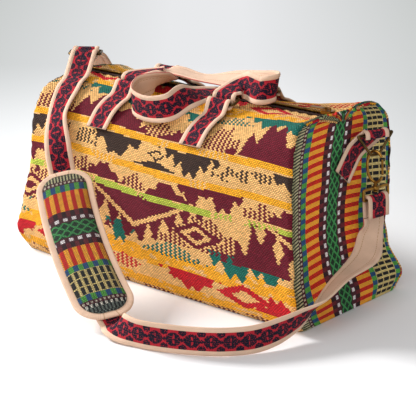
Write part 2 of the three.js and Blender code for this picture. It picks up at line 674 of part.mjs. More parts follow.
// Sewn end of the shoulder strap, folded round the bar of the eye
const ends = {};
function strapEnd(name) {
  const { eye } = clips[name];
  const w = clipOut.clone().transformDirection(eye).negate();
  const inner = clipAcross.clone().transformDirection(eye);
  const rise = vec(0, 0, 1).transformDirection(eye);
  const bar = vec(0, 0, eyeBar).applyMatrix4(eye);
  const below = (length) => bar.clone().addScaledVector(inner, FOLD_RADIUS).addScaledVector(rise, -length);
  piece(`strap_end_${name}`, strap([stop(below(SEWN_END), w), ...fold(bar, w, inner, rise, SEWN_END)], 20), BAND);
  ends[name] = [3 * SEAM_GAP, SEWN_LEAD].map((gap) => stop(below(SEWN_END + gap), w));
}
strapEnd('right');
strapEnd('left');

// Shoulder pad, in its own frame: X across, Y up along the strap, Z out of its face
const padTop = vec(PAD_TOP[0] - LENGTH / 2, -DEPTH / 2 - PAD_TOP[1], HEIGHT - PAD_TOP[2]);
const padFoot = vec(LENGTH / 2 - PAD_FOOT[0], -DEPTH / 2 - PAD_FOOT[1], PAD_FOOT[2]);
const padUp = padTop.clone().sub(padFoot);
const PAD_LENGTH = padUp.length();
padUp.normalize();
const padAcross = vec(...PAD_FACING);
padAcross.addScaledVector(padUp, -padAcross.dot(padUp)).normalize();
const padFrame = new THREE.Matrix4().makeBasis(padAcross, padUp, padAcross.clone().cross(padUp));
padFrame.setPosition(padTop.clone().lerp(padFoot, 0.5));
const padGroup = new THREE.Group();
padGroup.applyMatrix4(padFrame);
bag.add(padGroup);

// The pad swings out sideways in its middle
const padBend = (y) => -PAD_BEND * (1 - (2 * y / PAD_LENGTH) ** 2);
// Half width at a place along the pad, less an inset all round
function padHalf(y, inset) {
  const corner = PAD_CORNER - inset;
  const past = Math.max(Math.abs(y) - (PAD_LENGTH / 2 - PAD_CORNER), 0);
  return PAD_WIDTH / 2 - PAD_CORNER + Math.sqrt(Math.max(corner ** 2 - past ** 2, 0));
}
function padBacking() {
  const steps = 16;
  const right = [];
  const left = [];
  for (let i = 0; i <= steps; i++) {
    const y = -PAD_LENGTH / 2 * Math.cos(Math.PI * i / steps);
    right.push(new THREE.Vector2(padBend(y) + padHalf(y, 0), y));
    left.push(new THREE.Vector2(padBend(y) - padHalf(y, 0), y));
  }
  return plate(new THREE.Shape([...right, ...left.reverse()]), PAD_BASE, 1);
}
piece('pad_backing', padBacking(), TAN, padGroup);

function padInsert() {
  const reach = PAD_LENGTH / 2 - PAD_BORDER;
  const rows = 12;
  const columns = 8;
  const floor = PAD_BASE / 2 + SEAM_GAP;
  const upper = [];
  const lower = [];
  for (let i = 0; i <= rows; i++) {
    const y = -reach * Math.cos(Math.PI * i / rows);
    const edge = padHalf(y, PAD_BORDER);
    upper.push([]);
    lower.push([]);
    for (let j = 0; j <= columns; j++) {
      const a = 2 * j / columns - 1;
      const swell = (1 - a ** 4) * (1 - (y / reach) ** 6);
      upper[i].push(vec(padBend(y) + a * edge, y, floor + PAD_RIM + PAD_CROWN * swell));
      lower[i].push(vec(padBend(y) + a * edge, y, floor));
    }
  }
  return slab(upper, lower);
}
piece('pad_insert', padInsert(), STRIPED, padGroup);

// Two keepers on the back of the pad hold it on the strap
const strapBehind = -(PAD_BASE / 2 + EDGE_THICKNESS / 2 + 2 * SEAM_GAP);
for (const [name, sign] of [['top', 1], ['foot', -1]]) {
  const room = STRAP_WIDTH / 2 + 2 * SEAM_GAP;
  const depth = EDGE_THICKNESS + 3 * SEAM_GAP;
  const level = -PAD_BASE / 2 - SEAM_GAP - depth;
  const span = 2 * (room + KEEPER_THICKNESS);
  const strip = bar(span, KEEPER_LENGTH, KEEPER_THICKNESS).translate(0, 0, level - KEEPER_THICKNESS / 2);
  const legs = [-1, 1].map((side) => bar(KEEPER_THICKNESS, KEEPER_LENGTH, depth + KEEPER_THICKNESS).translate(
    side * (room + KEEPER_THICKNESS / 2), 0, level + (depth - KEEPER_THICKNESS) / 2));
  const at = sign * (PAD_LENGTH / 2 - PAD_CORNER);
  const lean = -Math.atan(8 * PAD_BEND * at / PAD_LENGTH ** 2);
  piece(`pad_keeper_${name}`, join(strip, ...legs).rotateZ(lean).translate(padBend(at), at, 0), TAN, padGroup);
}

// Strap slider with three bars
const heading = radians(SLIDER_HEADING);
const sliderAhead = vec(-Math.sin(heading), Math.cos(heading), 0);
const sliderAcross = vec(Math.cos(heading), Math.sin(heading), 0);
const sliderAtTop = vec(SLIDER_AT[0] - LENGTH / 2, SLIDER_AT[1], HEIGHT + SLIDER_RISE);
const barPitch = SLOT + WIRE;
function strapSlider() {
  const shape = roundedBox(new THREE.Shape(), ringWidth + 2 * WIRE, 2 * SLOT + 3 * WIRE, WIRE);
  for (const sign of [-1, 1]) {
    const slot = new THREE.Path();
    const low = sign * barPitch / 2 - SLOT / 2;
    slot.moveTo(-ringWidth / 2, low);
    slot.lineTo(ringWidth / 2, low);
    slot.lineTo(ringWidth / 2, low + SLOT);
    slot.lineTo(-ringWidth / 2, low + SLOT);
    shape.holes.push(slot);
  }
  const frame = new THREE.Matrix4().makeBasis(sliderAcross, sliderAhead, vec(0, 0, 1));
  return plate(shape, WIRE, WIRE / 4).applyMatrix4(frame.setPosition(sliderAtTop));
}
piece('strap_slider', strapSlider(), BRONZE);

// Long part of the shoulder strap: down from the right hook, along the floor on its edge, behind the
// pad, up the front and over the corner to the strap slider
const reach = LENGTH / 2;
const front = -DEPTH / 2;
const rest = half + 2 * SEAM_GAP; // middle of a strap that stands on the floor
const up = vec(0, 0, 1);
function onPad(share) {
  const y = share * PAD_LENGTH / 2;
  return stop(vec(padBend(y), y, strapBehind).applyMatrix4(padFrame), padAcross);
}
function onFront(x, out, lift) {
  const { point, normal } = roof('front', x, out);
  const w = sliderAcross.clone().addScaledVector(normal, -sliderAcross.dot(normal));
  return stop(point.addScaledVector(normal, EDGE_THICKNESS / 2 + lift), w);
}
const frontBar = sliderAtTop.clone().addScaledVector(sliderAhead, -barPitch);
piece('shoulder_strap_long', strap([
  ...ends.right.map(({ p, w }) => stop(p, w.clone().negate())),
  stop(vec(reach + 19, 42, 96), vec(0.45, 0.85, -0.2)),
  stop(vec(reach + 32, 12, 78), vec(0.78, 0.5, -0.05)),
  stop(vec(reach + 39, -62, 62), vec(0.85, 0.12, 0.4)),
  stop(vec(reach + 42, -110, 43), vec(0.75, 0.05, 0.7)),
  stop(vec(reach + 38, front - 17, 32), vec(0.35, 0, 0.94)),
  stop(vec(reach + 31, front - 57, 25), vec(0.08, 0, 1)),
  stop(vec(reach + 18, front - 89, rest), up),
  stop(vec(reach - 5, front - 121, rest), up),
  stop(vec(reach - 35, front - 143, rest), up),
  stop(vec(reach - 72, front - 161, rest), up),
  stop(vec(reach - 108, front - 172, rest), up),
  stop(vec(reach - 136, front - 173, 21), vec(0.15, 0.3, 0.94)),
  stop(vec(reach - 156, front - 166, 19), vec(0.4, 0.6, 0.68)),
  onPad(-1.06), onPad(-0.92), onPad(-0.7), onPad(-0.5), onPad(0), onPad(0.7), onPad(1.03),
  stop(vec(88 - reach, front - 18, HEIGHT - 85), vec(0.74, 0.6, 0.1)),
  onFront(64 - reach, -front - 13, 7),
  onFront(49 - reach, -front - 47, 3),
  onFront(33 - reach, -front - 79, 3),
  ...fold(frontBar, sliderAcross, up, sliderAhead),
], 110), BAND);

// Short part: from the strap slider over the left end, down in a slack loop and up to the left hook
const backBar = sliderAtTop.clone().addScaledVector(sliderAhead, barPitch);
piece('shoulder_strap_short', strap([
  ...fold(backBar, sliderAcross, up, sliderAhead.clone().negate()).reverse(),
  stop(vec(-reach - 20, 27, HEIGHT + 19), sliderAcross),
  stop(vec(-reach - 34, 62, HEIGHT), vec(0.9, 0.45, 0.2)),
  stop(vec(-reach - 42, 94, HEIGHT - 40), vec(0.95, 0.3, 0)),
  stop(vec(-reach - 50, 108, 160), vec(1, 0.1, 0)),
  stop(vec(-reach - 56, 106, 100), vec(1, 0, 0)),
  stop(vec(-reach - 59, 86, 58), vec(1, 0, 0)),
  stop(vec(-reach - 59, 60, 54), vec(1, 0, 0)),
  stop(vec(-reach - 54, 45, 80), vec(1, 0, 0)),
  ...ends.left.toReversed(),
], 64), BAND);

export default bag;
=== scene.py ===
import math

import bpy
from mathutils import Matrix, Vector, noise


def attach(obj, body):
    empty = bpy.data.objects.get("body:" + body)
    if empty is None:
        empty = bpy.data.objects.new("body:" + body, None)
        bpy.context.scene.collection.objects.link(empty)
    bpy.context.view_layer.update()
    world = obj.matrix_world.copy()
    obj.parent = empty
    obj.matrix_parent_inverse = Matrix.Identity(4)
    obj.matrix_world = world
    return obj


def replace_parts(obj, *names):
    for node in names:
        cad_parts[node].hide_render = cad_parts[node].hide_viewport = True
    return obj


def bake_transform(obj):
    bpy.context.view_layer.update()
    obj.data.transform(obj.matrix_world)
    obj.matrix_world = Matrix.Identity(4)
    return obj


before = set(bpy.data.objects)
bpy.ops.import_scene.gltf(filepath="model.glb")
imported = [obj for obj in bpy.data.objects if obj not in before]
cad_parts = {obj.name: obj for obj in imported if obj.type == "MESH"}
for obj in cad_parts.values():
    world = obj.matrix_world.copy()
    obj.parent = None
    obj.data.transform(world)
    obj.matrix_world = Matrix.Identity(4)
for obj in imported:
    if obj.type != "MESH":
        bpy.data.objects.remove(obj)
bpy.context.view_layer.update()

MM = 0.001
METRE = 1000

# Body of the bag, as in the solids
LENGTH = 500
DEPTH = 250
HEIGHT = 271
CLOTH = 3
SEAM_GAP = 0.4
FLOOR_GAP = 0.6
END_DENT = 14
END_STAND = 2 * SEAM_GAP + CLOTH
# Half sections at the ends and in the middle: shares of half the depth and of the height
STATIONS = {
    "front": {
        "left": [(0.87, 0), (1.04, 0.135), (1, 0.3), (0.91, 0.55), (0.91, 0.715), (0.85, 0.84),
                 (0.69, 0.95), (0.42, 0.985), (0.22, 0.995), (0.1, 1)],
        "middle": [(0.95, 0), (1.06, 0.104), (1.09, 0.311), (1.07, 0.54), (1.02, 0.705), (0.9, 0.84),
                   (0.64, 0.92), (0.36, 0.97), (0.19, 0.99), (0.1, 1)],
        "right": [(0.93, 0), (1.09, 0.104), (1.07, 0.3), (1.02, 0.54), (0.98, 0.747), (0.92, 0.923),
                  (0.79, 1.02), (0.5, 1.04), (0.24, 1.02), (0.1, 1)],
    },
    "back": {
        "left": [(0.92, 0), (1.1, 0.125), (1.06, 0.3), (0.99, 0.55), (0.95, 0.735), (0.87, 0.89),
                 (0.72, 0.96), (0.42, 0.99), (0.22, 0.997), (0.1, 1)],
        "middle": [(0.95, 0), (1.07, 0.104), (1.09, 0.311), (1.06, 0.54), (1.01, 0.715), (0.9, 0.85),
                   (0.68, 0.92), (0.4, 0.965), (0.2, 0.985), (0.1, 1)],
        "right": [(0.86, 0), (0.96, 0.1), (0.79, 0.26), (0.74, 0.4), (0.86, 0.6), (0.9, 0.8),
                  (0.84, 0.95), (0.62, 1.035), (0.29, 1.04), (0.1, 1)],
    },
}
STATION_POWER = 2
ZIP_EDGE = 0.1 * DEPTH / 2
BAG_MIDDLE = Vector((0, 0, HEIGHT / 2))
# How far the ends lean out, at shares of the height
FLARE = [(17, 0), (22, 0.104), (13, 0.29), (4, 0.54), (-1, 0.736), (-4, 0.923), (-8, 1.07)]


def lerp(a, b, share):
    return a + (b - a) * share


def smooth(x, low, high):
    share = min(max((x - low) / (high - low), 0), 1)
    return share * share * (3 - 2 * share)


def section(points, v):
    """Point at share v of a smooth half section."""
    last = len(points) - 1
    place = v * last
    i = min(int(place), last)
    t = place - i
    p0, p1 = points[max(i - 1, 0)], points[i]
    p2, p3 = points[min(i + 1, last)], points[min(i + 2, last)]
    result = []
    for a, b, c, d in zip(p0, p1, p2, p3):
        v0, v1 = (c - a) / 2, (d - b) / 2
        bend = (2 * b - 2 * c + v0 + v1) * t ** 3 + (-3 * b + 3 * c - 2 * v0 - v1) * t ** 2
        result.append(bend + v0 * t + b)
    return result


def flare(z):
    share = z / HEIGHT
    for (low, a), (high, b) in zip(FLARE, FLARE[1:]):
        if share <= b:
            return lerp(low, high, smooth(share, a, b))
    return FLARE[-1][0]


def wall(side, u, v):
    """Point of the front or back cloth: u from -1 at the left to 1, v from the floor to the zip."""
    middle = section(STATIONS[side]["middle"], v)
    end = section(STATIONS[side]["left" if u < 0 else "right"], v)
    share = abs(u) ** STATION_POWER
    out = lerp(middle[0], end[0], share) * DEPTH / 2
    z = FLOOR_GAP + lerp(middle[1], end[1], share) * (HEIGHT - FLOOR_GAP)
    return Vector((u * (LENGTH / 2 + flare(z)), -out if side == "front" else out, z))


def end_wall(end, a, v):
    """Point of an end panel: a from -1 at its front seam to 1."""
    p = wall("front", end, v).lerp(wall("back", end, v), (a + 1) / 2)
    p.x -= end * END_DENT * (1 - a * a) * math.sin(math.pi * min(p.z / HEIGHT, 1))
    return p


HALVINGS = 40  # rounds of a search for a place on the cloth
ROOF_FROM, END_FACE_TO = 0.3, 0.75  # where those searches begin and stop, as shares of the section
SLOPE_STEP = 1e-3  # share of a cloth over which its slope is taken


def roof(side, x, out):
    """Point of the front or back cloth over a place in plan, and the way that it faces there."""
    low, high, u = ROOF_FROM, 1.0, 2 * x / LENGTH
    for _ in range(HALVINGS):
        v = (low + high) / 2
        p = wall(side, u, v)
        u = x / (LENGTH / 2 + flare(p.z))
        if abs(p.y) > out:
            low = v
        else:
            high = v
    v = (low + high) / 2
    along = wall(side, u + SLOPE_STEP, v) - wall(side, u - SLOPE_STEP, v)
    up = wall(side, u, v + SLOPE_STEP) - wall(side, u, v - SLOPE_STEP)
    normal = along.cross(up).normalized()
    if normal.z < 0:
        normal.negate()
    return wall(side, u, v), normal


def end_face(end, y, z):
    """Point of an end panel's outer face at a depth and a height."""
    low, high, a = 0.0, END_FACE_TO, 0.0
    for _ in range(HALVINGS):
        v = (low + high) / 2
        front, back = wall("front", end, v).y, wall("back", end, v).y
        a = 2 * (y - front) / (back - front) - 1
        if end_wall(end, a, v).z < z:
            low = v
        else:
            high = v
    p = end_wall(end, a, low)
    p.x += end * END_STAND
    return p


# Mesh making

def make(name, points, faces, materials, uvs=None, picks=None, body="bag"):
    """A smooth mesh from points in millimetres; uvs, in metres, go by point, picks by face."""
    mesh = bpy.data.meshes.new(name)
    mesh.from_pydata([Vector(p) * MM for p in points], [], faces)
    for material in materials:
        mesh.materials.append(material)
    mesh.polygons.foreach_set("use_smooth", [True] * len(faces))
    if picks:
        mesh.polygons.foreach_set("material_index", picks)
    if uvs:
        corners = [c for face in faces for i in face for c in uvs[i]]
        mesh.uv_layers.new(name="cloth").data.foreach_set("uv", corners)
    mesh.update()
    piece = bpy.data.objects.new(name, mesh)
    bpy.context.scene.collection.objects.link(piece)
    if body:
        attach(piece, body)
    return piece


def finish_as(piece, slot, *nodes):
    if nodes:
        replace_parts(piece, *nodes)
    return piece


def grid_faces(rows, columns, flip=False, wrap=False):
    """Quads of a grid whose points are listed row by row."""
    faces = []
    for i in range(rows - 1):
        for j in range(columns if wrap else columns - 1):
            k = (j + 1) % columns
            face = (i * columns + j, i * columns + k, (i + 1) * columns + k, (i + 1) * columns + j)
            faces.append(face[::-1] if flip else face)
    return faces


def thicken(piece, thickness, offset=-1):
    solid = piece.modifiers.new("thickness", "SOLIDIFY")
    solid.thickness = thickness * MM
    solid.offset = offset
    return piece


# Soft body of the bag: the cloth sinks a little between its seams, puckers along them and has
# slow waves. It only ever moves inwards, so the tabs keep lying on it.
SIDE_COLUMNS, SIDE_ROWS = 220, 170
END_COLUMNS, END_ROWS = 90, 120
SOFT_CLOTH = CLOTH - 0.6
WAVE, WAVE_SIZE = 4.4, 75
CREASE, CREASE_SIZE = 1.1, 28.5
PUCKER, PUCKER_LENGTH, PUCKER_SLANT, PUCKER_REACH = 1.6, 17, 0.7, 13
PUCKER_SWAY, PUCKER_SWAY_SIZE = 2.5, 40
SEAM_ROLL, SEAM_ROLL_WIDTH = 3.2, 7
SEAM_EASE, ZIP_EASE = 30, 20  # the waves die away over these widths
FLOOR_REST, PUCKER_FULL, WAVE_FULL = 4, 30, 40  # heights where they begin, and where each is full


def cloth_drop(p, seam, zip_edge, seed):
    """How far the cloth lies inside its smooth shape, given its distance from a seam and the zip."""
    wave = 0.5 + 0.5 * noise.noise(p / WAVE_SIZE + Vector((seed, 0, 0)))
    crease = 0.5 + 0.5 * noise.noise(p / CREASE_SIZE + Vector((0, seed, 0)))
    drop = WAVE * wave + CREASE * crease
    drop *= smooth(seam, 0, SEAM_EASE) * smooth(zip_edge, 0, ZIP_EASE) * smooth(p.z, FLOOR_REST, WAVE_FULL)
    near = math.exp(-min(seam, zip_edge) / PUCKER_REACH)
    run = (p.x + PUCKER_SLANT * p.z + p.y) * 2 * math.pi / PUCKER_LENGTH
    ripple = 0.5 + 0.5 * math.sin(run + PUCKER_SWAY * noise.noise(p / PUCKER_SWAY_SIZE))
    drop += PUCKER * near * ripple * smooth(p.z, FLOOR_REST, PUCKER_FULL)
    return drop + SEAM_ROLL * (1 - min(seam / SEAM_ROLL_WIDTH, 1)) ** 2


def soft_grid(name, point, columns, rows, span, seed, material, zip_distance=None, heading=1):
    """Cloth whose smooth outer face is point(a, v), for a from -1 to 1; span is its half width."""
    points, uvs = [], []
    for j in range(rows + 1):
        v = j / rows
        for i in range(columns + 1):
            a = 2 * i / columns - 1
            p = point(a, v)
            across = point(min(a + SLOPE_STEP, 1), v) - point(max(a - SLOPE_STEP, -1), v)
            up = point(a, min(v + SLOPE_STEP, 1)) - point(a, max(v - SLOPE_STEP, 0))
            normal = across.cross(up).normalized()
            if normal.dot(BAG_MIDDLE - p) > 0:
                normal.negate()
            seam = (1 - abs(a)) * span
            zip_edge = zip_distance(p) if zip_distance else math.inf
            points.append(p - normal * cloth_drop(p, seam, zip_edge, seed))
            uvs.append([heading * a * span * MM, 0])
    wide = columns + 1
    for i in range(wide):
        a = 2 * i / columns - 1
        rise = 0.0
        for j in range(1, rows + 1):
            rise += (point(a, j / rows) - point(a, (j - 1) / rows)).length
            uvs[j * wide + i][1] = rise * MM
    facing = (points[1] - points[0]).cross(points[wide] - points[0])
    flip = facing.dot(points[wide // 2] - BAG_MIDDLE) < 0
    piece = make(name, points, grid_faces(rows + 1, wide, flip), [material], uvs)
    return thicken(piece, SOFT_CLOTH)


# Straps
LEAST_STEP = 1e-8  # taken between stops that have the same width direction


def spline(points, t):
    """Point at share t of a smooth line through its stops."""
    last = len(points) - 1
    place = min(max(t, 0), 1) * last
    i = min(int(place), last - 1)
    w = place - i
    p1, p2 = points[i], points[i + 1]
    p0 = points[i - 1] if i > 0 else 2 * p1 - p2
    p3 = points[i + 2] if i + 2 <= last else 2 * p2 - p1
    d0, d1, d2 = (max((b - a).length, LEAST_STEP) ** 0.5 for a, b in ((p0, p1), (p1, p2), (p2, p3)))
    t1 = ((p1 - p0) / d0 - (p2 - p0) / (d0 + d1) + (p2 - p1) / d1) * d1
    t2 = ((p2 - p1) / d1 - (p3 - p1) / (d1 + d2) + (p3 - p2) / d2) * d1
    return (2 * p1 - 2 * p2 + t1 + t2) * w ** 3 + (3 * p2 - 3 * p1 - 2 * t1 - t2) * w ** 2 + t1 * w + p1


STRAP_WIDTH = 40
STRAP_THICKNESS = 2.6
STRAP_EDGE = 7.4
EDGE_THICKNESS = 4
EDGE_TURNS = range(180, 20, -26)  # degrees round a rolled edge, from its outside to the band
BAND_STOPS = (-11.2, -6, 0, 6, 11.2)
BAR_GAP = 1.2
HALF = STRAP_WIDTH / 2
ROUGH_STEPS, FEWEST_STEPS = 400, 12
AHEAD_STEP = 1e-4  # share of a route over which its heading is taken
STRAP_SPACING, SHORT_SPACING = 3.0, 2.0  # between stations of a long strap and of a sewn loop


def strap_section():
    """Outline of a strap across its width: (across, out of its face), the patterned face first."""
    roll = [(math.cos(math.radians(d)), math.sin(math.radians(d))) for d in EDGE_TURNS]
    centre, wide, high = HALF - STRAP_EDGE / 2, STRAP_EDGE / 2, EDGE_THICKNESS / 2
    left = [(-centre + wide * c, high * s) for c, s in roll]
    band = [(a, STRAP_THICKNESS / 2) for a in BAND_STOPS]
    top = left + band + [(-a, h) for a, h in reversed(left)]
    under = [(a, -h) for a, h in reversed(top[1:-1])]
    return top + under, len(left), len(left) + len(band)


def strap_line(route, spacing=STRAP_SPACING):
    """Fine stations of a strap along its route: middle, width way, face way and run from its start."""
    middles, breadths = [p for p, _ in route], [w.normalized() for _, w in route]
    rough = [spline(middles, i / ROUGH_STEPS) for i in range(ROUGH_STEPS + 1)]
    length = sum((b - a).length for a, b in zip(rough, rough[1:]))
    steps = max(int(length / spacing), FEWEST_STEPS)
    stations, run, before = [], 0.0, None
    for i in range(steps + 1):
        t = i / steps
        p = spline(middles, t)
        ahead = (spline(middles, t + AHEAD_STEP) - spline(middles, t - AHEAD_STEP)).normalized()
        w = spline(breadths, t)
        w = (w - ahead * w.dot(ahead)).normalized()
        run += (p - before).length if before else 0
        before = p
        stations.append((p, w, w.cross(ahead), run))
    return stations


def strap_mesh(name, stations, body="bag", part=(0.0, 1.0), doubled=False):
    """A band with rolled edges along a share of its stations. Its back is tan, or banded when doubled."""
    outline, first, last = strap_section()
    begin, end = (round(share * (len(stations) - 1)) for share in part)
    count = len(outline)
    points, uvs = [], []
    for p, w, face, run in stations[begin:end + 1]:
        for a, h in outline:
            points.append(p + w * a + face * h)
            uvs.append((a * MM, run * MM))
    rows = end - begin + 1
    faces = grid_faces(rows, count, wrap=True)
    back = (count // 2 + first, count // 2 + last) if doubled else (count, count)
    picks = [0 if first - 1 <= n % count < last or back[0] - 1 <= n % count < back[1] else 1
             for n in range(len(faces))]
    if part[0] == 0:
        faces.append(tuple(range(count))[::-1])
        picks.append(1)
    if part[1] == 1:
        faces.append(tuple(range((rows - 1) * count, rows * count)))
        picks.append(1)
    piece = make(name, points, faces, [BAND, TAN_WEBBING], uvs, picks, body)
    return finish_as(piece, "patterned_band")


# Fittings of round wire
WIRE = 4


def tube(name, path, radius, material, body, slot, closed=True, sides=12):
    """Round wire along a path of points."""
    count = len(path)
    points, before = [], None
    for i, p in enumerate(path):
        ahead = path[(i + 1) % count] if closed or i + 1 < count else p
        behind = path[i - 1] if closed or i > 0 else p
        along = (ahead - behind).normalized()
        if before is None:
            before = along.orthogonal()
        side = (before - along * before.dot(along)).normalized()
        before = side
        third = along.cross(side)
        for k in range(sides):
            turn = 2 * math.pi * k / sides
            points.append(p + (side * math.cos(turn) + third * math.sin(turn)) * radius)
    faces = grid_faces(count, sides, flip=True, wrap=True)
    if closed:
        seam = [points[(count - 1) * sides + k] for k in range(sides)]
        start = min(range(sides), key=lambda s: (points[s] - seam[0]).length)
        for k in range(sides):
            n = (k + 1) % sides
            faces.append(((count - 1) * sides + n, (count - 1) * sides + k,
                          (start + k) % sides, (start + n) % sides)[::-1])
    else:
        faces.append(tuple(range(sides)))
        faces.append(tuple(range((count - 1) * sides, count * sides))[::-1])
    return finish_as(make(name, points, faces, [material], body=body), slot)


def rounded(width, height, radius, steps=5):
    """Points round a rectangle with round corners, centred on zero."""
    points = []
    for sx, sy, from_angle in ((1, -1, -90), (1, 1, 0), (-1, 1, 90), (-1, -1, 180)):
        for i in range(steps + 1):
            turn = math.radians(from_angle + 90 * i / steps)
            points.append((sx * (width / 2 - radius) + radius * math.cos(turn),
                           sy * (height / 2 - radius) + radius * math.sin(turn)))
    return fill_in(points)


def fill_in(points, spacing=4.0):
    """The same closed line with long straight runs divided."""
    result = []
    for a, b in zip(points, points[1:] + points[:1]):
        pieces = max(int(math.dist(a, b) / spacing), 1)
        result += [(lerp(a[0], b[0], k / pieces), lerp(a[1], b[1], k / pieces)) for k in range(pieces)]
    return result


# Shader nodes: a Field is a number that changes over a surface

class Field:
    def __init__(self, tree, socket):
        self.tree, self.socket = tree, socket

    def math(self, operation, *others, clamp=False):
        node = self.tree.nodes.new("ShaderNodeMath")
        node.operation = operation
        node.use_clamp = clamp
        for entry, value in zip(node.inputs, (self, *others)):
            join(self.tree, value, entry)
        return Field(self.tree, node.outputs[0])

    def __add__(self, other):
        return self.math("ADD", other)

    def __sub__(self, other):
        return self.math("SUBTRACT", other)

    def __mul__(self, other):
        return self.math("MULTIPLY", other)

    def __truediv__(self, other):
        return self.math("DIVIDE", other)

    def __lt__(self, other):
        return self.math("LESS_THAN", other)

    def __gt__(self, other):
        return self.math("GREATER_THAN", other)

    def invert(self):
        node = self.tree.nodes.new("ShaderNodeMath")
        node.operation = "SUBTRACT"
        node.inputs[0].default_value = 1
        join(self.tree, self, node.inputs[1])
        return Field(self.tree, node.outputs[0])

    def share(self):
        """The same field held between 0 and 1."""
        return self.math("ADD", 0.0, clamp=True)

    def floor(self):
        return self.math("FLOOR")

    def fraction(self):
        return self.math("FRACT")

    def size(self):
        return self.math("ABSOLUTE")

    def power(self, exponent):
        return self.math("POWER", exponent)

    def sine(self):
        return self.math("SINE")

    def either(self, other):
        return self.math("MAXIMUM", other)


def join(tree, value, entry):
    """Feeds an input from a field, a socket or a plain value."""
    if isinstance(value, Field):
        tree.links.new(value.socket, entry)
    elif isinstance(value, bpy.types.NodeSocket):
        tree.links.new(value, entry)
    else:
        entry.default_value = value


def group(name, inputs, outputs, build):
    """A node group with named number inputs and outputs; a Vector input is named UV."""
    tree = bpy.data.node_groups.new(name, "ShaderNodeTree")
    for entry in inputs:
        kind = "NodeSocketVector" if entry == "UV" else "NodeSocketFloat"
        tree.interface.new_socket(entry, in_out="INPUT", socket_type=kind)
    for out in outputs:
        tree.interface.new_socket(out, in_out="OUTPUT", socket_type="NodeSocketFloat")
    begin = tree.nodes.new("NodeGroupInput")
    finish = tree.nodes.new("NodeGroupOutput")
    results = build(tree, {entry: Field(tree, begin.outputs[entry]) for entry in inputs})
    for out, result in zip(outputs, results):
        join(tree, result, finish.inputs[out])
    return tree


def use(tree, made, **inputs):
    """Outputs of a node group, as fields by name."""
    node = tree.nodes.new("ShaderNodeGroup")
    node.node_tree = made
    for name, value in inputs.items():
        join(tree, value, node.inputs[name])
    return {out.name: Field(tree, out) for out in node.outputs}


def split(tree, vector):
    node = tree.nodes.new("ShaderNodeSeparateXYZ")
    join(tree, vector, node.inputs[0])
    return Field(tree, node.outputs[0]), Field(tree, node.outputs[1])


def pair(tree, x, y):
    node = tree.nodes.new("ShaderNodeCombineXYZ")
    join(tree, x, node.inputs[0])
    join(tree, y, node.inputs[1])
    return node.outputs[0]


def random(tree, x, y):
    """A steady random number for each pair of whole numbers."""
    white = tree.nodes.new("ShaderNodeTexWhiteNoise")
    white.noise_dimensions = "2D"
    join(tree, pair(tree, x, y), white.inputs["Vector"])
    return Field(tree, white.outputs["Value"])


def weave(tree, given):
    """Stitches in staggered rows. Across and Up give the middle of the stitch in millimetres."""
    u, v = split(tree, given["UV"])
    length, height = given["Length"], given["Height"]
    up = v * METRE / height
    row = up.floor()
    odd = row.math("MODULO", 2)
    across = u * METRE / length + odd * 0.5
    column = across.floor()
    inside_x = (across.fraction() - 0.5).size() * 2
    inside_y = (up.fraction() - 0.5).size() * 2
    crown = inside_x.power(3).invert() * inside_y.power(2).invert()
    return [(column + 0.5 - odd * 0.5) * length, (row + 0.5) * height, crown,
            random(tree, column, row), (column + row).math("MODULO", 2).size()]


def figure(tree, given):
    """A stepped figure, once in each repeat: it stands or hangs, with teeth along its slopes."""
    x = (((given["Across"] - given["Middle"]) / CLOTH_REPEAT + 0.5).fraction() - 0.5) * CLOTH_REPEAT
    t = (given["Up"] - given["Foot"]) / given["Height"]
    band = (t > 0) * (t < 1)
    side = x.size() / given["Half"]
    notch = ((x / given["Tooth"]).fraction() * 2 - 1).size() - 0.5
    slope = side + notch * given["Depth"]
    fold = side + (t * 2 - 1).size()
    ring = (fold - RING_MIDDLE).size() < RING_HALF
    return [band * (t < slope.invert()), band * (slope < t), band * (fold < 1), band * ring,
            band * (side < 1)]


def stripe(tree, given):
    """One stripe of a striped cloth, with what is woven into it."""
    t = (given["Across"] - given["Start"]) / given["Width"]
    band = (t > 0) * (t < 1)
    turns = given["Along"] / given["Period"]
    off_middle = (t - 0.5).size()
    bars = turns.fraction() < 0.5
    checks = (bars - (t < 0.5)).size()
    spread = (t * 2 - 1).size()
    lattice = ((turns + spread).fraction() < LATTICE_LINE).either((turns - spread).fraction() < LATTICE_LINE)
    grid = (turns.fraction() < GRID_BAR).either(off_middle > GRID_EDGE)
    return [band, bars, bars * (off_middle < DOT_HALF), checks, lattice, grid]


CLOTH_REPEAT = 330
RING_MIDDLE, RING_HALF = 0.79, 0.17  # of the line of a ring, as shares of a figure
LATTICE_LINE, GRID_BAR, GRID_EDGE, DOT_HALF = 0.27, 0.42, 0.43, 0.26  # shares of a stripe or its period
WEAVE = group("weave", ["UV", "Length", "Height"], ["Across", "Up", "Round", "Random", "Odd"], weave)
FIGURE = group("stepped figure", ["Across", "Up", "Middle", "Half", "Foot", "Height", "Tooth", "Depth"],
               ["Peak", "Hanger", "Diamond", "Ring", "Block"], figure)
STRIPE = group("stripe", ["Across", "Along", "Start", "Width", "Period"],
               ["Band", "Bars", "Dots", "Checks", "Lattice", "Grid"], stripe)


def colour(value):
    """Colour as light from the usual screen value of six hex digits."""
    parts = [int(value[i:i + 2], 16) / 255 for i in (0, 2, 4)]
    return (*[c / 12.92 if c <= 0.04045 else ((c + 0.055) / 1.055) ** 2.4 for c in parts], 1.0)


COLOUR_MIX_INPUTS, COLOUR_MIX_OUTPUT = (0, 6, 7), 2  # sockets of a Mix node that mixes colours
DULL_SPECULAR = 0.25


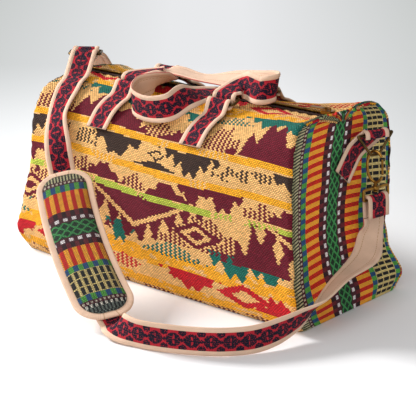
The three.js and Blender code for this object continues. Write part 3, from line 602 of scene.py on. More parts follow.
class Paint:
    """A material and the colour built up in it so far."""

    def __init__(self, name, ground):
        self.material = bpy.data.materials.new(name)
        self.material.use_nodes = True
        self.tree = self.material.node_tree
        self.shader = self.tree.nodes["Principled BSDF"]
        self.shade = colour(ground)

    def node(self, kind):
        return self.tree.nodes.new(kind)

    def uv(self):
        return self.node("ShaderNodeUVMap").outputs[0]

    def place(self):
        return self.node("ShaderNodeTexCoord").outputs["Object"]

    def noise(self, scale, detail, vector=None):
        node = self.node("ShaderNodeTexNoise")
        join(self.tree, vector or self.place(), node.inputs["Vector"])
        node.inputs["Scale"].default_value = scale
        node.inputs["Detail"].default_value = detail
        return Field(self.tree, node.outputs["Fac"])

    def mix(self, share, first, second, blend="MIX"):
        node = self.node("ShaderNodeMix")
        node.data_type = "RGBA"
        node.blend_type = blend
        for number, value in zip(COLOUR_MIX_INPUTS, (share, first, second)):
            join(self.tree, value, node.inputs[number])
        return node.outputs[COLOUR_MIX_OUTPUT]

    def lay(self, share, shade):
        """Lays a colour over what is there, by a share from 0 to 1."""
        self.shade = self.mix(share, self.shade, colour(shade) if isinstance(shade, str) else shade)

    def darken(self, share):
        """Multiplies the colour by a grey field."""
        grey = self.node("ShaderNodeCombineColor")
        for entry in grey.inputs:
            join(self.tree, share, entry)
        self.shade = self.mix(1.0, self.shade, grey.outputs[0], "MULTIPLY")

    def threads(self, stitch):
        """Weave of the cloth, for stitches of a length and a height in millimetres."""
        return use(self.tree, WEAVE, UV=self.uv(), Length=stitch[0], Height=stitch[1])

    def paint_thread_shade_and_tone(self, thread, crown, gap, spread, least):
        """Paints shade into the gaps between the threads and light on their crowns, and darkens some threads
        more than others at random.
        """
        self.darken((thread["Round"] * crown + gap) * (thread["Random"] * spread + least))

    def done(self, height, depth, rough, sheen=0.0, metal=0.0):
        """Joins colour and bump; depth is the height of the bump in millimetres."""
        shader, tree = self.shader, self.tree
        join(tree, self.shade, shader.inputs["Base Color"])
        join(tree, rough, shader.inputs["Roughness"])
        shader.inputs["Metallic"].default_value = metal
        shader.inputs["Sheen Weight"].default_value = sheen
        if not metal:
            shader.inputs["Specular IOR Level"].default_value = DULL_SPECULAR
        bump = self.node("ShaderNodeBump")
        bump.inputs["Distance"].default_value = depth * MM
        join(tree, height, bump.inputs["Height"])
        tree.links.new(bump.outputs[0], shader.inputs["Normal"])
        return self.material


# Finishes
APRICOT, GOLD, MAROON, RED = "eeb873", "f7ac24", "6a1024", "c81824"
TEAL, LIME, BROWN = "14685a", "b4c044", "3c2a22"
# Length and height of one stitch or thread
CLOTH_STITCH, STRIPE_STITCH = (4.0, 2.4), (2.8, 2.1)
BAND_STITCH, TAN_STITCH, ZIP_STITCH = (1.5, 1.3), (1.1, 0.8), (1.2, 0.9)
# Figures of the woven cloth: kind, middle, half width, foot and height in millimetres and colour, then
# how it is filled if it isn't solid, or that and the width and depth of its teeth
FIGURES = [
    # Broken bands near the floor and near the zip
    ("Block", 0, 170, 0, 13, MAROON, "broken checks"), ("Block", 0, 170, 10, 17, GOLD, "broken"),
    ("Block", 0, 170, 50, 24, GOLD, "broken"), ("Block", 0, 170, 304, 23, GOLD, "broken"),
    # Red row
    ("Diamond", -37, 32, 29, 25, RED, "checks"), ("Hanger", 80, 48, 26, 28, RED, "solid", 21, 0.5),
    ("Diamond", 80, 40, 33, 22, RED), ("Diamond", 168, 46, 22, 37, RED),
    ("Diamond", 168, 23, 31, 19, APRICOT), ("Diamond", 228, 19, 26, 26, RED),
    ("Peak", -110, 44, 25, 29, RED, "solid", 18, 0.5),
    # Teal row
    ("Hanger", -46, 30, 66, 34, TEAL, "solid", 16, 0.5),
    ("Peak", 48, 60, 70, 24, TEAL, "checks", 18, 0.3),
    ("Hanger", 158, 56, 62, 34, TEAL, "solid", 24, 0.6),
    ("Hanger", 214, 28, 66, 26, TEAL, "solid", 14, 0.4),
    # Lower maroon row, with a gem in it
    ("Hanger", -20, 118, 80, 66, MAROON, "solid", 27, 0.5), ("Hanger", -20, 98, 98, 48, APRICOT),
    ("Hanger", -20, 86, 106, 40, MAROON), ("Peak", 106, 98, 90, 54, MAROON, "checks", 33, 0.2),
    ("Diamond", 92, 46, 88, 46, APRICOT), ("Ring", 92, 46, 90, 43, MAROON),
    ("Diamond", 92, 16, 104, 15, MAROON), ("Peak", 200, 60, 84, 54, MAROON, "solid", 25, 0.6),
    # Lime line
    ("Block", 10, 110, 143, 9, LIME, "sparse"), ("Block", 175, 55, 143, 9, LIME, "broken checks"),
    # Middle maroon row and a gold line over it
    ("Peak", -83, 42, 154, 25, MAROON, "solid", 16, 0.4),
    ("Peak", -24, 28, 154, 24, MAROON, "checks", 12, 0.3),
    ("Peak", 38, 42, 153, 25, MAROON, "solid", 21, 0.3),
    ("Hanger", 84, 28, 150, 30, MAROON, "solid", 14, 0.4),
    ("Hanger", 138, 38, 151, 29, MAROON, "solid", 19, 0.5),
    ("Peak", 204, 42, 154, 24, MAROON, "checks", 12, 0.4), ("Block", 0, 170, 180, 10, GOLD, "sparse"),
    # Brown row and a gold line over it
    ("Hanger", -64, 52, 191, 33, BROWN, "solid", 26, 0.4), ("Ring", 14, 17, 202, 17, BROWN),
    ("Peak", 14, 46, 191, 11, BROWN), ("Hanger", 78, 54, 191, 33, BROWN, "solid", 18, 0.5),
    ("Block", 172, 58, 196, 22, BROWN, "broken checks"), ("Block", 0, 170, 225, 10, GOLD, "sparse"),
    # Upper teal row
    ("Hanger", 190, 58, 282, 27, TEAL, "solid", 24, 0.5),
    ("Hanger", 44, 26, 276, 22, TEAL, "solid", 14, 0.4),
    ("Hanger", -92, 52, 280, 27, TEAL, "solid", 20, 0.5),
    ("Peak", 118, 46, 284, 21, TEAL, "checks", 18, 0.4),
    # Upper maroon row
    ("Peak", -64, 54, 236, 38, MAROON, "solid", 16, 0.4),
    ("Peak", 4, 48, 236, 29, MAROON, "checks", 16, 0.4),
    ("Peak", 42, 34, 236, 22, MAROON, "solid", 13, 0.4),
    ("Peak", 116, 56, 236, 44, MAROON, "checks", 22, 0.4),
    ("Peak", 212, 70, 236, 58, MAROON, "solid", 28, 0.5),
    # Red row beside the zip
    ("Diamond", 150, 46, 322, 37, RED), ("Diamond", 150, 23, 331, 19, APRICOT),
    ("Hanger", 62, 48, 325, 30, RED, "solid", 18, 0.5), ("Peak", -50, 48, 325, 30, RED, "solid", 18, 0.5),
    ("Diamond", 228, 34, 325, 30, RED, "checks"),
]
PLAIN_TOOTH = 20
ROW_SWAY, ROW_WAVE, LONG_ROW_WAVE = 3.4, 64, 143


def woven_cloth():
    """Rows of stepped figures on an apricot ground."""
    paint = Paint("woven cloth with stepped figures", APRICOT)
    tree = paint.tree
    thread = paint.threads(CLOTH_STITCH)
    across, odd = thread["Across"], thread["Odd"]
    up = thread["Up"] + ((across / ROW_WAVE + 1.1).sine() + (across / LONG_ROW_WAVE).sine()) * ROW_SWAY

    def patches(scale, tallness, level):
        """Clumps of stitches, where a noise lies under a level."""
        return paint.noise(scale, 1, pair(tree, across / METRE, up / tallness)) < level

    fills = {
        "checks": odd,
        "broken": patches(scale=55, tallness=600, level=0.6),
        "sparse": patches(scale=13, tallness=1000, level=0.56).either(odd),
        "broken checks": odd * patches(scale=34, tallness=700, level=0.53),
    }

    def lay_figure(kind, middle, half, foot, height, shade, fill="solid", tooth=PLAIN_TOOTH, depth=0):
        made = use(tree, FIGURE, Across=across, Up=up, Middle=middle, Half=half, Foot=foot, Height=height,
                   Tooth=tooth, Depth=depth)[kind]
        paint.lay(made * fills[fill] if fill in fills else made, shade)

    for entry in FIGURES:
        lay_figure(*entry)
    # Painted shade in the gaps between the threads and light on their crowns, and random tone
    paint.paint_thread_shade_and_tone(thread, crown=0.92, gap=0.46, spread=0.36, least=0.88)
    return paint.done(thread["Round"], depth=1.7, rough=0.9)


# What is woven into a stripe: its period in millimetres, its kind, its ground and the colour on it
OLIVE_BARS = (4.6, "Bars", "26241a", "9c9a70")
PALE_BARS = (4.6, "Bars", "24221a", "c4be94")
SMALL_DOTS = (6, "Dots", "4c1722", "c4b6a2")
BLUE_BLOCKS = (14, "Bars", "1f4c7c", "52a040")
RED_BARS = (12.5, "Bars", "cc1c0c", "fbaa2c")
DARK_BARS = (12.5, "Bars", "6a1824", "2c0d14")
WHITE_DOTS = (12.5, "Dots", "4e1524", "efe6e6")
GREEN_LATTICE = (15, "Lattice", "12331f", "3f9650")
STRAW_GRID = (9, "Grid", "141315", "d8c07c")
WHITE_BARS = (7, "Bars", "17181a", "d8d2c4")
GREY_CHECKS = (5, "Checks", "24282a", "6f7a72")
# Stripes in order, each with its width
STRIPES = [
    (14, OLIVE_BARS), (12, PALE_BARS), (9, SMALL_DOTS), (14, BLUE_BLOCKS), (38, RED_BARS), (10, DARK_BARS),
    (11, WHITE_DOTS), (27, GREEN_LATTICE), (11, WHITE_DOTS), (9, DARK_BARS), (32, RED_BARS),
    (11, BLUE_BLOCKS), (14, STRAW_GRID), (14, STRAW_GRID), (14, STRAW_GRID), (10, BLUE_BLOCKS),
    (7, SMALL_DOTS), (5, WHITE_BARS), (16, GREY_CHECKS),
]
STRIPE_WAVE, STRIPE_WANDER = 41, 2.4


def striped_cloth(name, begin, light, sway, along_length=False):
    """Striped cloth whose first stripe begins at the given place, in millimetres; light sets how brightly it
    is painted, as painted light for how much lamp light falls on it.
    """
    paint = Paint(name, "2a2a1e")
    tree = paint.tree
    thread = paint.threads(STRIPE_STITCH)
    u, v = split(tree, paint.uv())
    across, along = (v * -METRE, u * METRE) if along_length else (u * METRE, v * METRE)
    wander = (paint.noise(60, 1) - 0.5) * STRIPE_WANDER
    across = across + wander + (along / STRIPE_WAVE + 0.9).sine() * sway
    for width, (period, kind, ground, woven_in) in STRIPES:
        made = use(tree, STRIPE, Across=across, Along=along, Start=begin, Width=width, Period=period)
        both = paint.mix(made[kind], colour(ground), colour(woven_in))
        paint.lay(made["Band"], both)
        begin += width
    # Painted shade between the threads, light on their crowns and random tone; light sets how bright the
    # whole cloth is painted
    paint.paint_thread_shade_and_tone(thread, crown=1.05, gap=light, spread=0.34, least=0.8)
    return paint.done(thread["Round"], depth=1.3, rough=0.9, sheen=0.05)


# Ovals of the band: half width in millimetres, and how often one goes into its half of the period
OVAL_PERIOD = 25
CHAIN_OVAL, SIDE_OVAL, KNOT_OVAL = (9.4, 1.22), (4.6, 2.2), (2.6, 3.2)
SIDE_OVAL_AT, SLIT_HALF, SLIT_SHARE, LINE_HALF = 10.5, 5.5, 0.09, 0.9


def inside(oval, x, y):
    half, tightness = oval
    return (x / half).power(2) + (y * tightness).power(2) < 1


def patterned_band():
    """Red band with a chain of dark ovals."""
    paint = Paint("red band with dark ovals", "c52434")
    thread = paint.threads(BAND_STITCH)
    across, along = thread["Across"], thread["Up"]
    turns = along / OVAL_PERIOD
    chain = turns.fraction() * 2 - 1
    link = (turns + 0.5).fraction() * 2 - 1
    slit = (chain.size() < SLIT_SHARE) * (across.size() < SLIT_HALF)
    dark = inside(CHAIN_OVAL, across, chain) * slit.invert()
    dark = dark.either(inside(SIDE_OVAL, across.size() - SIDE_OVAL_AT, link))
    dark = dark.either(inside(KNOT_OVAL, across, link)).either(across.size() < LINE_HALF)
    ragged = paint.noise(800, 1) < 0.6
    paint.lay(dark * ragged.either(thread["Odd"]), "0f0e26")
    # Painted shade in the gaps between the threads and light on their crowns, and random tone
    paint.paint_thread_shade_and_tone(thread, crown=0.35, gap=0.7, spread=0.3, least=0.8)
    return paint.done(thread["Round"], depth=0.5, rough=0.9, sheen=0.02)


SEW_LINE, SEW_HALF, SEW_PITCH, SEW_SHARE = 10.4, 0.45, 4.2, 0.66


def tan_webbing():
    """Pale tan lining and rolled edges, with a line of stitches beside each edge."""
    paint = Paint("tan webbing", "dcb99f")
    u, v = split(paint.tree, paint.uv())
    thread = paint.threads(TAN_STITCH)
    beside = ((u * METRE).size() - SEW_LINE).size() < SEW_HALF
    stitches = beside * ((v * METRE / SEW_PITCH).fraction() < SEW_SHARE)
    paint.lay(stitches, "b98d66")
    # Random tone, and painted shade in the gaps between the threads
    paint.darken((paint.noise(45, 4) * 0.3 + 0.82) * (thread["Round"] * 0.22 + 0.84))
    return paint.done(thread["Round"] * 0.5 - stitches * 0.6, depth=0.25, rough=0.8, sheen=0.05)


def zip_cloth():
    paint = Paint("dark zip tape", "3a2017")
    thread = paint.threads(ZIP_STITCH)
    # Painted shade in the gaps between the threads and light on their crowns, and random tone
    paint.paint_thread_shade_and_tone(thread, crown=0.5, gap=0.6, spread=0.2, least=0.85)
    return paint.done(thread["Round"], depth=0.3, rough=0.9)


def old_metal(name, bright, dark, patches):
    """Plated metal, dull in patches; patches is how many there are in a metre."""
    paint = Paint(name, bright)
    cloud = paint.noise(patches, 4)
    fine = paint.noise(patches * 9, 3)
    paint.lay((cloud * 1.7 - 0.35).share(), dark)
    paint.darken(fine * 0.25 + 0.86)
    return paint.done(fine, depth=0.08, rough=cloud * 0.25 + 0.2, metal=1.0)


CLOTH_ROWS = woven_cloth()
# The ends are painted brighter and the pad darker: painted light and shade for how much lamp light each gets
CLOTH_STRIPES = striped_cloth("striped cloth of the ends", begin=-125, light=0.74, sway=4.0)
PAD_STRIPES = striped_cloth("striped cloth of the pad", begin=-141, light=0.1, sway=0.6, along_length=True)
BAND = patterned_band()
TAN_WEBBING = tan_webbing()
ZIP_CLOTH = zip_cloth()
OLD_BRASS = old_metal("worn antique brass", "b98a3e", "6a4a22", patches=90)
DARK_BRONZE = old_metal("dark bronze", "7c6238", "3a2d1c", patches=80)


# Body
WAVE_SEEDS = {"front": 3, "back": 11, "right": 18, "left": 16}
END_SHARE = 1 - 2 * (SEAM_ROLL + SEAM_GAP) / DEPTH  # the end cloth stops inside the rolled seams
# The middle of an end is lowered towards its top, clear of the swinging zip pull
END_LOWER, END_LOWER_FROM, END_LOWER_OVER = 4, 0.55, 0.2


def zip_distance(p):
    return max(abs(p.y) - ZIP_EDGE, 0)


def side_cloth(side):
    """Front or back of the bag, from the floor to the zip."""
    reach = 1 + 2 * END_STAND / LENGTH
    cloth = soft_grid(f"{side}_cloth", lambda a, v: wall(side, a * reach, v), SIDE_COLUMNS, SIDE_ROWS,
                      LENGTH / 2, WAVE_SEEDS[side], CLOTH_ROWS, zip_distance)
    finish_as(cloth, "woven_cloth", f"{side}_panel")


def end_cloth(name, end):
    """An end of the bag, between the seams of the front and the back."""
    def point(a, v):
        p = end_wall(end, a * END_SHARE, v)
        p.x += end * END_STAND
        p.z -= END_LOWER * (1 - a * a) * min(max((v - END_LOWER_FROM) / END_LOWER_OVER, 0), 1)
        return p

    cloth = soft_grid(f"end_cloth_{name}", point, END_COLUMNS, END_ROWS, DEPTH / 2, WAVE_SEEDS[name],
                      CLOTH_STRIPES, heading=end)
    finish_as(cloth, "striped_cloth", f"end_panel_{name}")


BASE_COLUMNS, BASE_ROWS = 60, 30
BASE_LEVEL = 0.2
BASE_CORNER_POWER = 8


def base_cloth():
    """Flat cloth under the bag, inside the front and the back."""
    inset = CLOTH + SEAM_GAP
    points, uvs = [], []
    for j in range(BASE_ROWS + 1):
        for i in range(BASE_COLUMNS + 1):
            u = 2 * i / BASE_COLUMNS - 1
            front, back = wall("front", u, 0), wall("back", u, 0)
            p = Vector((front.x - math.copysign(inset * abs(u) ** BASE_CORNER_POWER, u),
                        lerp(front.y + inset, back.y - inset, j / BASE_ROWS), BASE_LEVEL))
            points.append(p)
            uvs.append((p.y * MM, p.x * MM))
    faces = grid_faces(BASE_ROWS + 1, BASE_COLUMNS + 1, flip=True)
    piece = make("base_cloth", points, faces, [CLOTH_STRIPES], uvs)
    finish_as(thicken(piece, CLOTH - SEAM_GAP), "striped_cloth", "base_panel")


side_cloth("front")
side_cloth("back")
end_cloth("right", 1)
end_cloth("left", -1)
base_cloth()

# Zip
ZIP_LENGTH = 478
TAPE_WIDTH = 9
TAPE_THICKNESS = 1
TOOTH_WIDTH = 2.6
TOOTH_HEIGHT = 3
TOOTH_PITCH = 2.6
TOOTH_SHARE = 0.52
TOOTH_CORNER = 0.5
STOP_LENGTH = 4
SOFT_TAPE = 0.8 * TAPE_THICKNESS
TAPE_COLUMNS, TAPE_ROWS = 160, 6
TAPE_WAVE, TAPE_WAVE_LENGTH = 0.25, 9
TOOTH_LEVEL = HEIGHT + TAPE_THICKNESS / 2 + SEAM_GAP + TOOTH_HEIGHT / 2


def zip_tape(name, sign):
    """One tape of the zip, a little wavy."""
    middle = ZIP_EDGE - SEAM_GAP - TAPE_WIDTH / 2
    points, uvs = [], []
    for i in range(TAPE_COLUMNS + 1):
        x = (i / TAPE_COLUMNS - 0.5) * ZIP_LENGTH
        for j in range(TAPE_ROWS + 1):
            share = j / TAPE_ROWS
            y = (share - 0.5) * TAPE_WIDTH
            lift = TAPE_WAVE * math.sin(x / TAPE_WAVE_LENGTH + sign) * share
            points.append(Vector((x, sign * (middle + y), HEIGHT + lift)))
            uvs.append((y * MM, x * MM))
    faces = grid_faces(TAPE_COLUMNS + 1, TAPE_ROWS + 1, flip=sign > 0)
    piece = make(f"zip_tape_{name}_cloth", points, faces, [ZIP_CLOTH], uvs)
    finish_as(thicken(piece, SOFT_TAPE, 0), "zip_tape", f"zip_tape_{name}")


def zip_teeth(name, sign):
    """Teeth on one tape, set half a pitch from those of the other."""
    reach = ZIP_LENGTH / 2 - STOP_LENGTH - SEAM_GAP - TOOTH_PITCH
    count = int(2 * reach / TOOTH_PITCH)
    points, faces = [], []
    outline = rounded(TOOTH_PITCH * TOOTH_SHARE, TOOTH_HEIGHT, TOOTH_CORNER, steps=2)
    rim = len(outline)
    for i in range(count):
        x = -reach + (i + (0.5 if sign > 0 else 0)) * TOOTH_PITCH
        start = len(points)
        for y in (SEAM_GAP / 2, SEAM_GAP / 2 + TOOTH_WIDTH):
            points += [Vector((x + a, sign * y, TOOTH_LEVEL + b)) for a, b in outline]
        for k in range(rim):
            n = (k + 1) % rim
            face = (start + k, start + n, start + rim + n, start + rim + k)
            faces.append(face if sign < 0 else face[::-1])
        near, far = tuple(range(start, start + rim)), tuple(range(start + rim, start + 2 * rim))
        faces += [near[::-1], far] if sign < 0 else [near, far[::-1]]
    piece = make(f"zip_teeth_{name}_row", points, faces, [OLD_BRASS])
    finish_as(piece, "old_brass", f"zip_teeth_{name}")


for name, sign in (("front", -1), ("back", 1)):
    zip_tape(name, sign)
    zip_teeth(name, sign)


def bevel(node, width, material):
    """Rounds the edges of a solid and gives it its finish."""
    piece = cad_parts[node]
    piece.data.materials.clear()
    piece.data.materials.append(material)
    edge = piece.modifiers.new("edges", "BEVEL")
    edge.width = width * MM
    edge.segments = 3
    edge.limit_method = "ANGLE"


STOP_BEVEL, SLIDER_BEVEL = 0.5, 0.4
for node in ("zip_stop_left", "zip_stop_right"):
    bevel(node, STOP_BEVEL, OLD_BRASS)
for node in ("zip_slider", "zip_pull"):
    bevel(node, SLIDER_BEVEL, OLD_BRASS)

# Handles
FOLD_RADIUS = WIRE / 2 + BAR_GAP + EDGE_THICKNESS / 2
FOLD_STEPS = 4
FOLD_TAIL = 5
RING_ROOM = 4
RING_WIDTH = STRAP_WIDTH + RING_ROOM
RING_OPENING = 12
RING_CORNER = 0.9 * WIRE
RING_RISE = 0.12
RING_LIFT = 3
TAB_SPACING = 180
HANDLE_OFFSET = -16
TAB_START, TAB_END = 116, 66
TAB_STOPS = (0, 0.35, 0.7, 1)
TAB_EASE = 1.4
TAB_LIE = EDGE_THICKNESS / 2 + SEAM_GAP + TAB_EASE
TAB_TURNS = {("front", "left"): 0, ("front", "right"): 2, ("back", "left"): 0, ("back", "right"): 0}


def fold(centre, w, over, ahead, tail=FOLD_TAIL):
    """Stops of a strap that comes in over a bar, goes round it and tucks its end under."""
    route = []
    for i in range(FOLD_STEPS + 1):
        turn = math.pi * i / FOLD_STEPS
        round_bar = over * FOLD_RADIUS * math.cos(turn) + ahead * FOLD_RADIUS * math.sin(turn)
        route.append((centre + round_bar, w))
    route.append((centre - over * FOLD_RADIUS - ahead * tail, w))
    return route


rings = {}


def handle_mount(side, at, turn):
    """A loop of strap sewn on the cloth, with the ring of a handle in its fold."""
    inward = 1 if side == "front" else -1
    x = HANDLE_OFFSET + (-1 if at == "left" else 1) * TAB_SPACING / 2
    route = []
    for share in TAB_STOPS:
        point, normal = roof(side, x, lerp(TAB_START, TAB_END, share))
        route.append((point + normal * TAB_LIE, (Vector((1, 0, 0)) - normal * normal.x).normalized()))
    point, normal = roof(side, x, TAB_END - 2 * FOLD_RADIUS - FOLD_TAIL)
    w = Vector((math.cos(turn), inward * math.sin(turn), 0))
    ahead = normal.cross(w).normalized()
    if ahead.y * inward < 0:
        ahead.negate()
    bar = point + normal * (TAB_LIE + FOLD_RADIUS + RING_LIFT)
    route += fold(bar, w, normal, ahead)
    tab = strap_mesh(f"handle_tab_{side}_{at}_band", strap_line(route, SHORT_SPACING), doubled=True)
    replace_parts(tab, f"handle_tab_{side}_{at}")
    lean = (ahead + normal * RING_RISE).normalized()
    body = f"handle_ring_{side}_{at}"
    outline = rounded(RING_WIDTH + WIRE, RING_OPENING + WIRE, RING_CORNER)
    path = [bar + w * a + lean * (b + (RING_OPENING + WIRE) / 2) for a, b in outline]
    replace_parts(tube(f"{body}_wire", path, WIRE / 2, DARK_BRONZE, body, "dark_bronze"), body)
    rings[f"{side}_{at}"] = {"far": bar + lean * (RING_OPENING + WIRE), "w": w, "lean": lean,
                             "over": lean.cross(w) * -inward}


for (side, at), turn in TAB_TURNS.items():
    handle_mount(side, at, math.radians(turn))


def over(x, y, lift, breadth):
    """Stop of a handle over a place, its lower edge lifted that far off the cloth or the teeth."""
    w = Vector(breadth).normalized()
    cloth = roof("front" if y < 0 else "back", x, max(abs(y), ZIP_EDGE))[0].z
    bed = max(cloth, TOOTH_LEVEL + TOOTH_HEIGHT / 2) if abs(y) < HALF else cloth
    return Vector((x, y, bed + lift + HALF * abs(w.z) + EDGE_THICKNESS / 2)), w


# Stops of the handles, from left to right: place in plan, lift and width direction
HANDLE_STOPS = {
    "front": [(-98, -12, 10, (0.95, -0.1, 0.1)), (-72, 8, 14, (0.7, 0.7, 0)), (-20, 11.25, 10, (0, 1, 0)),
              (40, 10, 9, (0, 0.9, 0.4)), (92, 7.5, 4, (0, 0.65, 0.75)), (126, 3.75, 2, (0.1, 0.25, 0.95)),
              (138, -10, 2, (0.15, 0, 1)), (122, -25, 3, (0, 0.3, 0.95)), (86, -17.5, 11, (-0.85, 0.2, 0.4))],
    "back": [(-84, 6, 2, (-0.95, -0.3, 0)), (-60, -22, 2, (-0.8, -0.4, -0.3)),
             (-46, -50, 7, (-0.6, -0.1, -0.8)), (-58, -82, 8, (-0.1, 0, -1)), (-48, -102, 8, (0, 0.1, -1)),
             (-14, -108, 8, (0, 0.15, -1)), (20, -100, 8, (0.1, 0, -1)), (26, -72, 8, (0.6, 0, -0.8)),
             (26, -34, 3, (0.95, 0.1, -0.3)), (52, 6, 2, (0.95, -0.2, 0))],
}
HANDLE_SPLIT = (0.34, 0.68)


def handle(side):
    """A handle in three lengths: the middle goes with the bag, and its ends are loose pieces with their
    transforms baked in.
    """
    sign = 1 if side == "front" else -1
    stops = [over(*stop) for stop in HANDLE_STOPS[side]]
    ends = []
    for at, way in (("left", sign), ("right", -sign)):
        ring = rings[f"{side}_{at}"]
        w = ring["w"] * way
        beside = ring["far"] + ring["over"] * FOLD_RADIUS + ring["lean"] * FOLD_RADIUS
        ends.append([(beside, w)] + fold(ring["far"], w, ring["over"], -ring["lean"]))
    line = strap_line(ends[0][::-1] + stops + ends[1])
    low, high = HANDLE_SPLIT
    middle = strap_mesh(f"handle_band_{side}_middle", line, "bag", (low, high))
    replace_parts(middle, f"handle_strap_{side}")
    for at, part, from_share in (("left", (0, low), low), ("right", (high, 1), high)):
        piece = strap_mesh(f"handle_band_{side}_{at}", line, None, part)
        begin = line[round(from_share * (len(line) - 1))][0]
        begin * MM
        rings[f"{side}_{at}"]["far"] * MM
        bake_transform(piece)


handle("front")
handle("back")

# Clips at the ends of the shoulder strap
CLIP_DEPTH, CLIP_HEIGHT, CLIP_OUT = DEPTH / 2 - 78, HEIGHT - 28, LENGTH / 2 + 17.5
RING_TURN, RING_FOOT, CLIP_LEAN, HOOK_TURN, EYE_TURN = 18, 9, 3, 8, 80
TRIANGLE_HEIGHT, TRIANGLE_SIDE_ROOM, TRIANGLE_CORNER = 29, 1.9 * WIRE, 2.2
HOOK_HEIGHT, HOOK_WIDTH, HOOK_STEPS = 44.5, 25, 40
GATE_ANGLE, GATE_RADIUS, GATE_STEPS = 38, 0.4 * WIRE, 8
GATE_OUT, GATE_END_ROOM = 0.25 * WIRE, 0.75 * WIRE
POST_RADIUS, POST_LENGTH, POST_SUNK = 2.3, 12, 1
HEAD_INSET, HEAD_ROUND, HEAD_SIDE, HEAD_HEIGHT = 1, 0.4, 1.3, 1.5
COLLAR_RADIUS, COLLAR_HEIGHT, COLLAR_GAP = 5, 5, 3
COLLAR_ROUND = (0.6, 0.7)
EYE_OPENING, EYE_CORNER = 11, 0.7 * WIRE
SEWN_END = 26
STRAP_STARTS = (3 * SEAM_GAP, 12)  # first stops of the strap past the sewn end
END_TAB_STOPS = (0, 0.3, 0.6)
END_TAB_FOOT = (2, HEIGHT - 84)
APEX = -TRIANGLE_HEIGHT
HOOK_TOP = WIRE + BAR_GAP
HOOK_MIDDLE = HOOK_TOP - HOOK_HEIGHT / 2
HOOK_FOOT = HOOK_TOP - HOOK_HEIGHT
COLLAR_TOP = HOOK_FOOT - WIRE / 2 - SEAM_GAP - COLLAR_GAP
EYE_LEVEL = COLLAR_TOP - COLLAR_HEIGHT / 2
EYE_BAR = EYE_LEVEL - EYE_OPENING - WIRE
ends = {}


def turned(end, turn, place):
    """Frame of a clip piece: X out, Y across, Z up."""
    about = math.radians(turn) + (math.pi if end < 0 else 0)
    return (Matrix.Translation(place) @ Matrix.Rotation(about, 4, "Z")
            @ Matrix.Rotation(math.radians(-CLIP_LEAN), 4, "Y"))


def direction(matrix, way):
    return (matrix.to_3x3() @ Vector(way)).normalized()


def lathe(name, profile, matrix, body, sides=24):
    """A turned brass piece about Z from (radius, height) pairs."""
    turns = [2 * math.pi * k / sides for k in range(sides)]
    points = [matrix @ Vector((r * math.cos(turn), r * math.sin(turn), z))
              for r, z in profile for turn in turns]
    faces = grid_faces(len(profile), sides, wrap=True)
    finish_as(make(name, points, faces, [OLD_BRASS], body=body), "old_brass")


def soften(corners, radius, steps=4):
    """A closed line with its corners rounded."""
    points = []
    for before, here, after in zip(corners[-1:] + corners[:-1], corners, corners[1:] + corners[:1]):
        a = Vector(here).lerp(Vector(before), radius / math.dist(here, before))
        b = Vector(here).lerp(Vector(after), radius / math.dist(here, after))
        for i in range(steps + 1):
            t = i / steps
            points.append(tuple(a * (1 - t) ** 2 + Vector(here) * 2 * t * (1 - t) + b * t * t))
    return fill_in(points)


def end_ring(name, ring):
    """Triangle of wire that hangs in the end loop."""
    top, low = RING_WIDTH / 2 + TRIANGLE_SIDE_ROOM, RING_FOOT - WIRE / 2
    outline = soften([(-top, 0), (-low, APEX), (low, APEX), (top, 0)], TRIANGLE_CORNER)
    path = [ring @ Vector((0, a, b)) for a, b in outline]
    body = f"end_ring_{name}"
    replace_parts(tube(f"{body}_wire", path, WIRE / 2, DARK_BRONZE, body, "dark_bronze"), body)


def snap_hook(name, hook):
    """Bow of the hook, the post under it and the gate that closes it."""
    body = f"hook_{name}"
    half_wide, half_high, opening = HOOK_WIDTH / 2, HOOK_HEIGHT / 2, math.radians(GATE_ANGLE)
    path = []
    for i in range(HOOK_STEPS + 1):
        turn = lerp(opening, 2 * math.pi - opening, i / HOOK_STEPS)
        path.append(hook @ Vector((half_wide * math.cos(turn), 0, HOOK_MIDDLE + half_high * math.sin(turn))))
    bow = tube(f"{body}_bow", path, WIRE / 2, OLD_BRASS, body, "old_brass", closed=False)
    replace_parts(bow, body)
    top, foot, head = HOOK_FOOT + POST_SUNK, HOOK_FOOT - POST_LENGTH, COLLAR_RADIUS - HEAD_INSET
    post = [(0, top), (POST_RADIUS, top), (POST_RADIUS, foot), (head, foot),
            (head - HEAD_ROUND, foot - HEAD_SIDE), (0, foot - HEAD_HEIGHT)]
    lathe(f"{body}_post", post, hook, body)
    gate = f"hook_gate_{name}"
    gate_x = half_wide * math.cos(opening) + GATE_OUT
    reach = half_high * math.sin(opening) - GATE_END_ROOM
    heights = [HOOK_MIDDLE + reach * (2 * i / GATE_STEPS - 1) for i in range(GATE_STEPS + 1)]
    path = [hook @ Vector((gate_x, 0, z)) for z in heights]
    rod = tube(f"{gate}_rod", path, GATE_RADIUS, OLD_BRASS, gate, "old_brass", closed=False)
    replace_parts(rod, gate)


def swivel(name, eye):
    """Wire eye that holds the strap, and the collar that it turns on."""
    body = f"swivel_{name}"
    outline = rounded(RING_WIDTH + WIRE, EYE_OPENING + WIRE, EYE_CORNER)
    path = [eye @ Vector((a, 0, b + (EYE_LEVEL + EYE_BAR) / 2)) for a, b in outline]
    loop = tube(f"swivel_eye_{name}_loop", path, WIRE / 2, OLD_BRASS, body, "old_brass")
    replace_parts(loop, f"swivel_eye_{name}")
    bore, rim = POST_RADIUS + SEAM_GAP, COLLAR_RADIUS
    high, deep = COLLAR_TOP, COLLAR_TOP - COLLAR_HEIGHT
    inset, drop = COLLAR_ROUND
    collar = [(bore, high), (bore, deep), (rim - inset, deep), (rim, deep + drop), (rim, high - drop),
              (rim - inset, high), (bore, high)]
    lathe(f"swivel_collar_{name}", collar, eye, body)


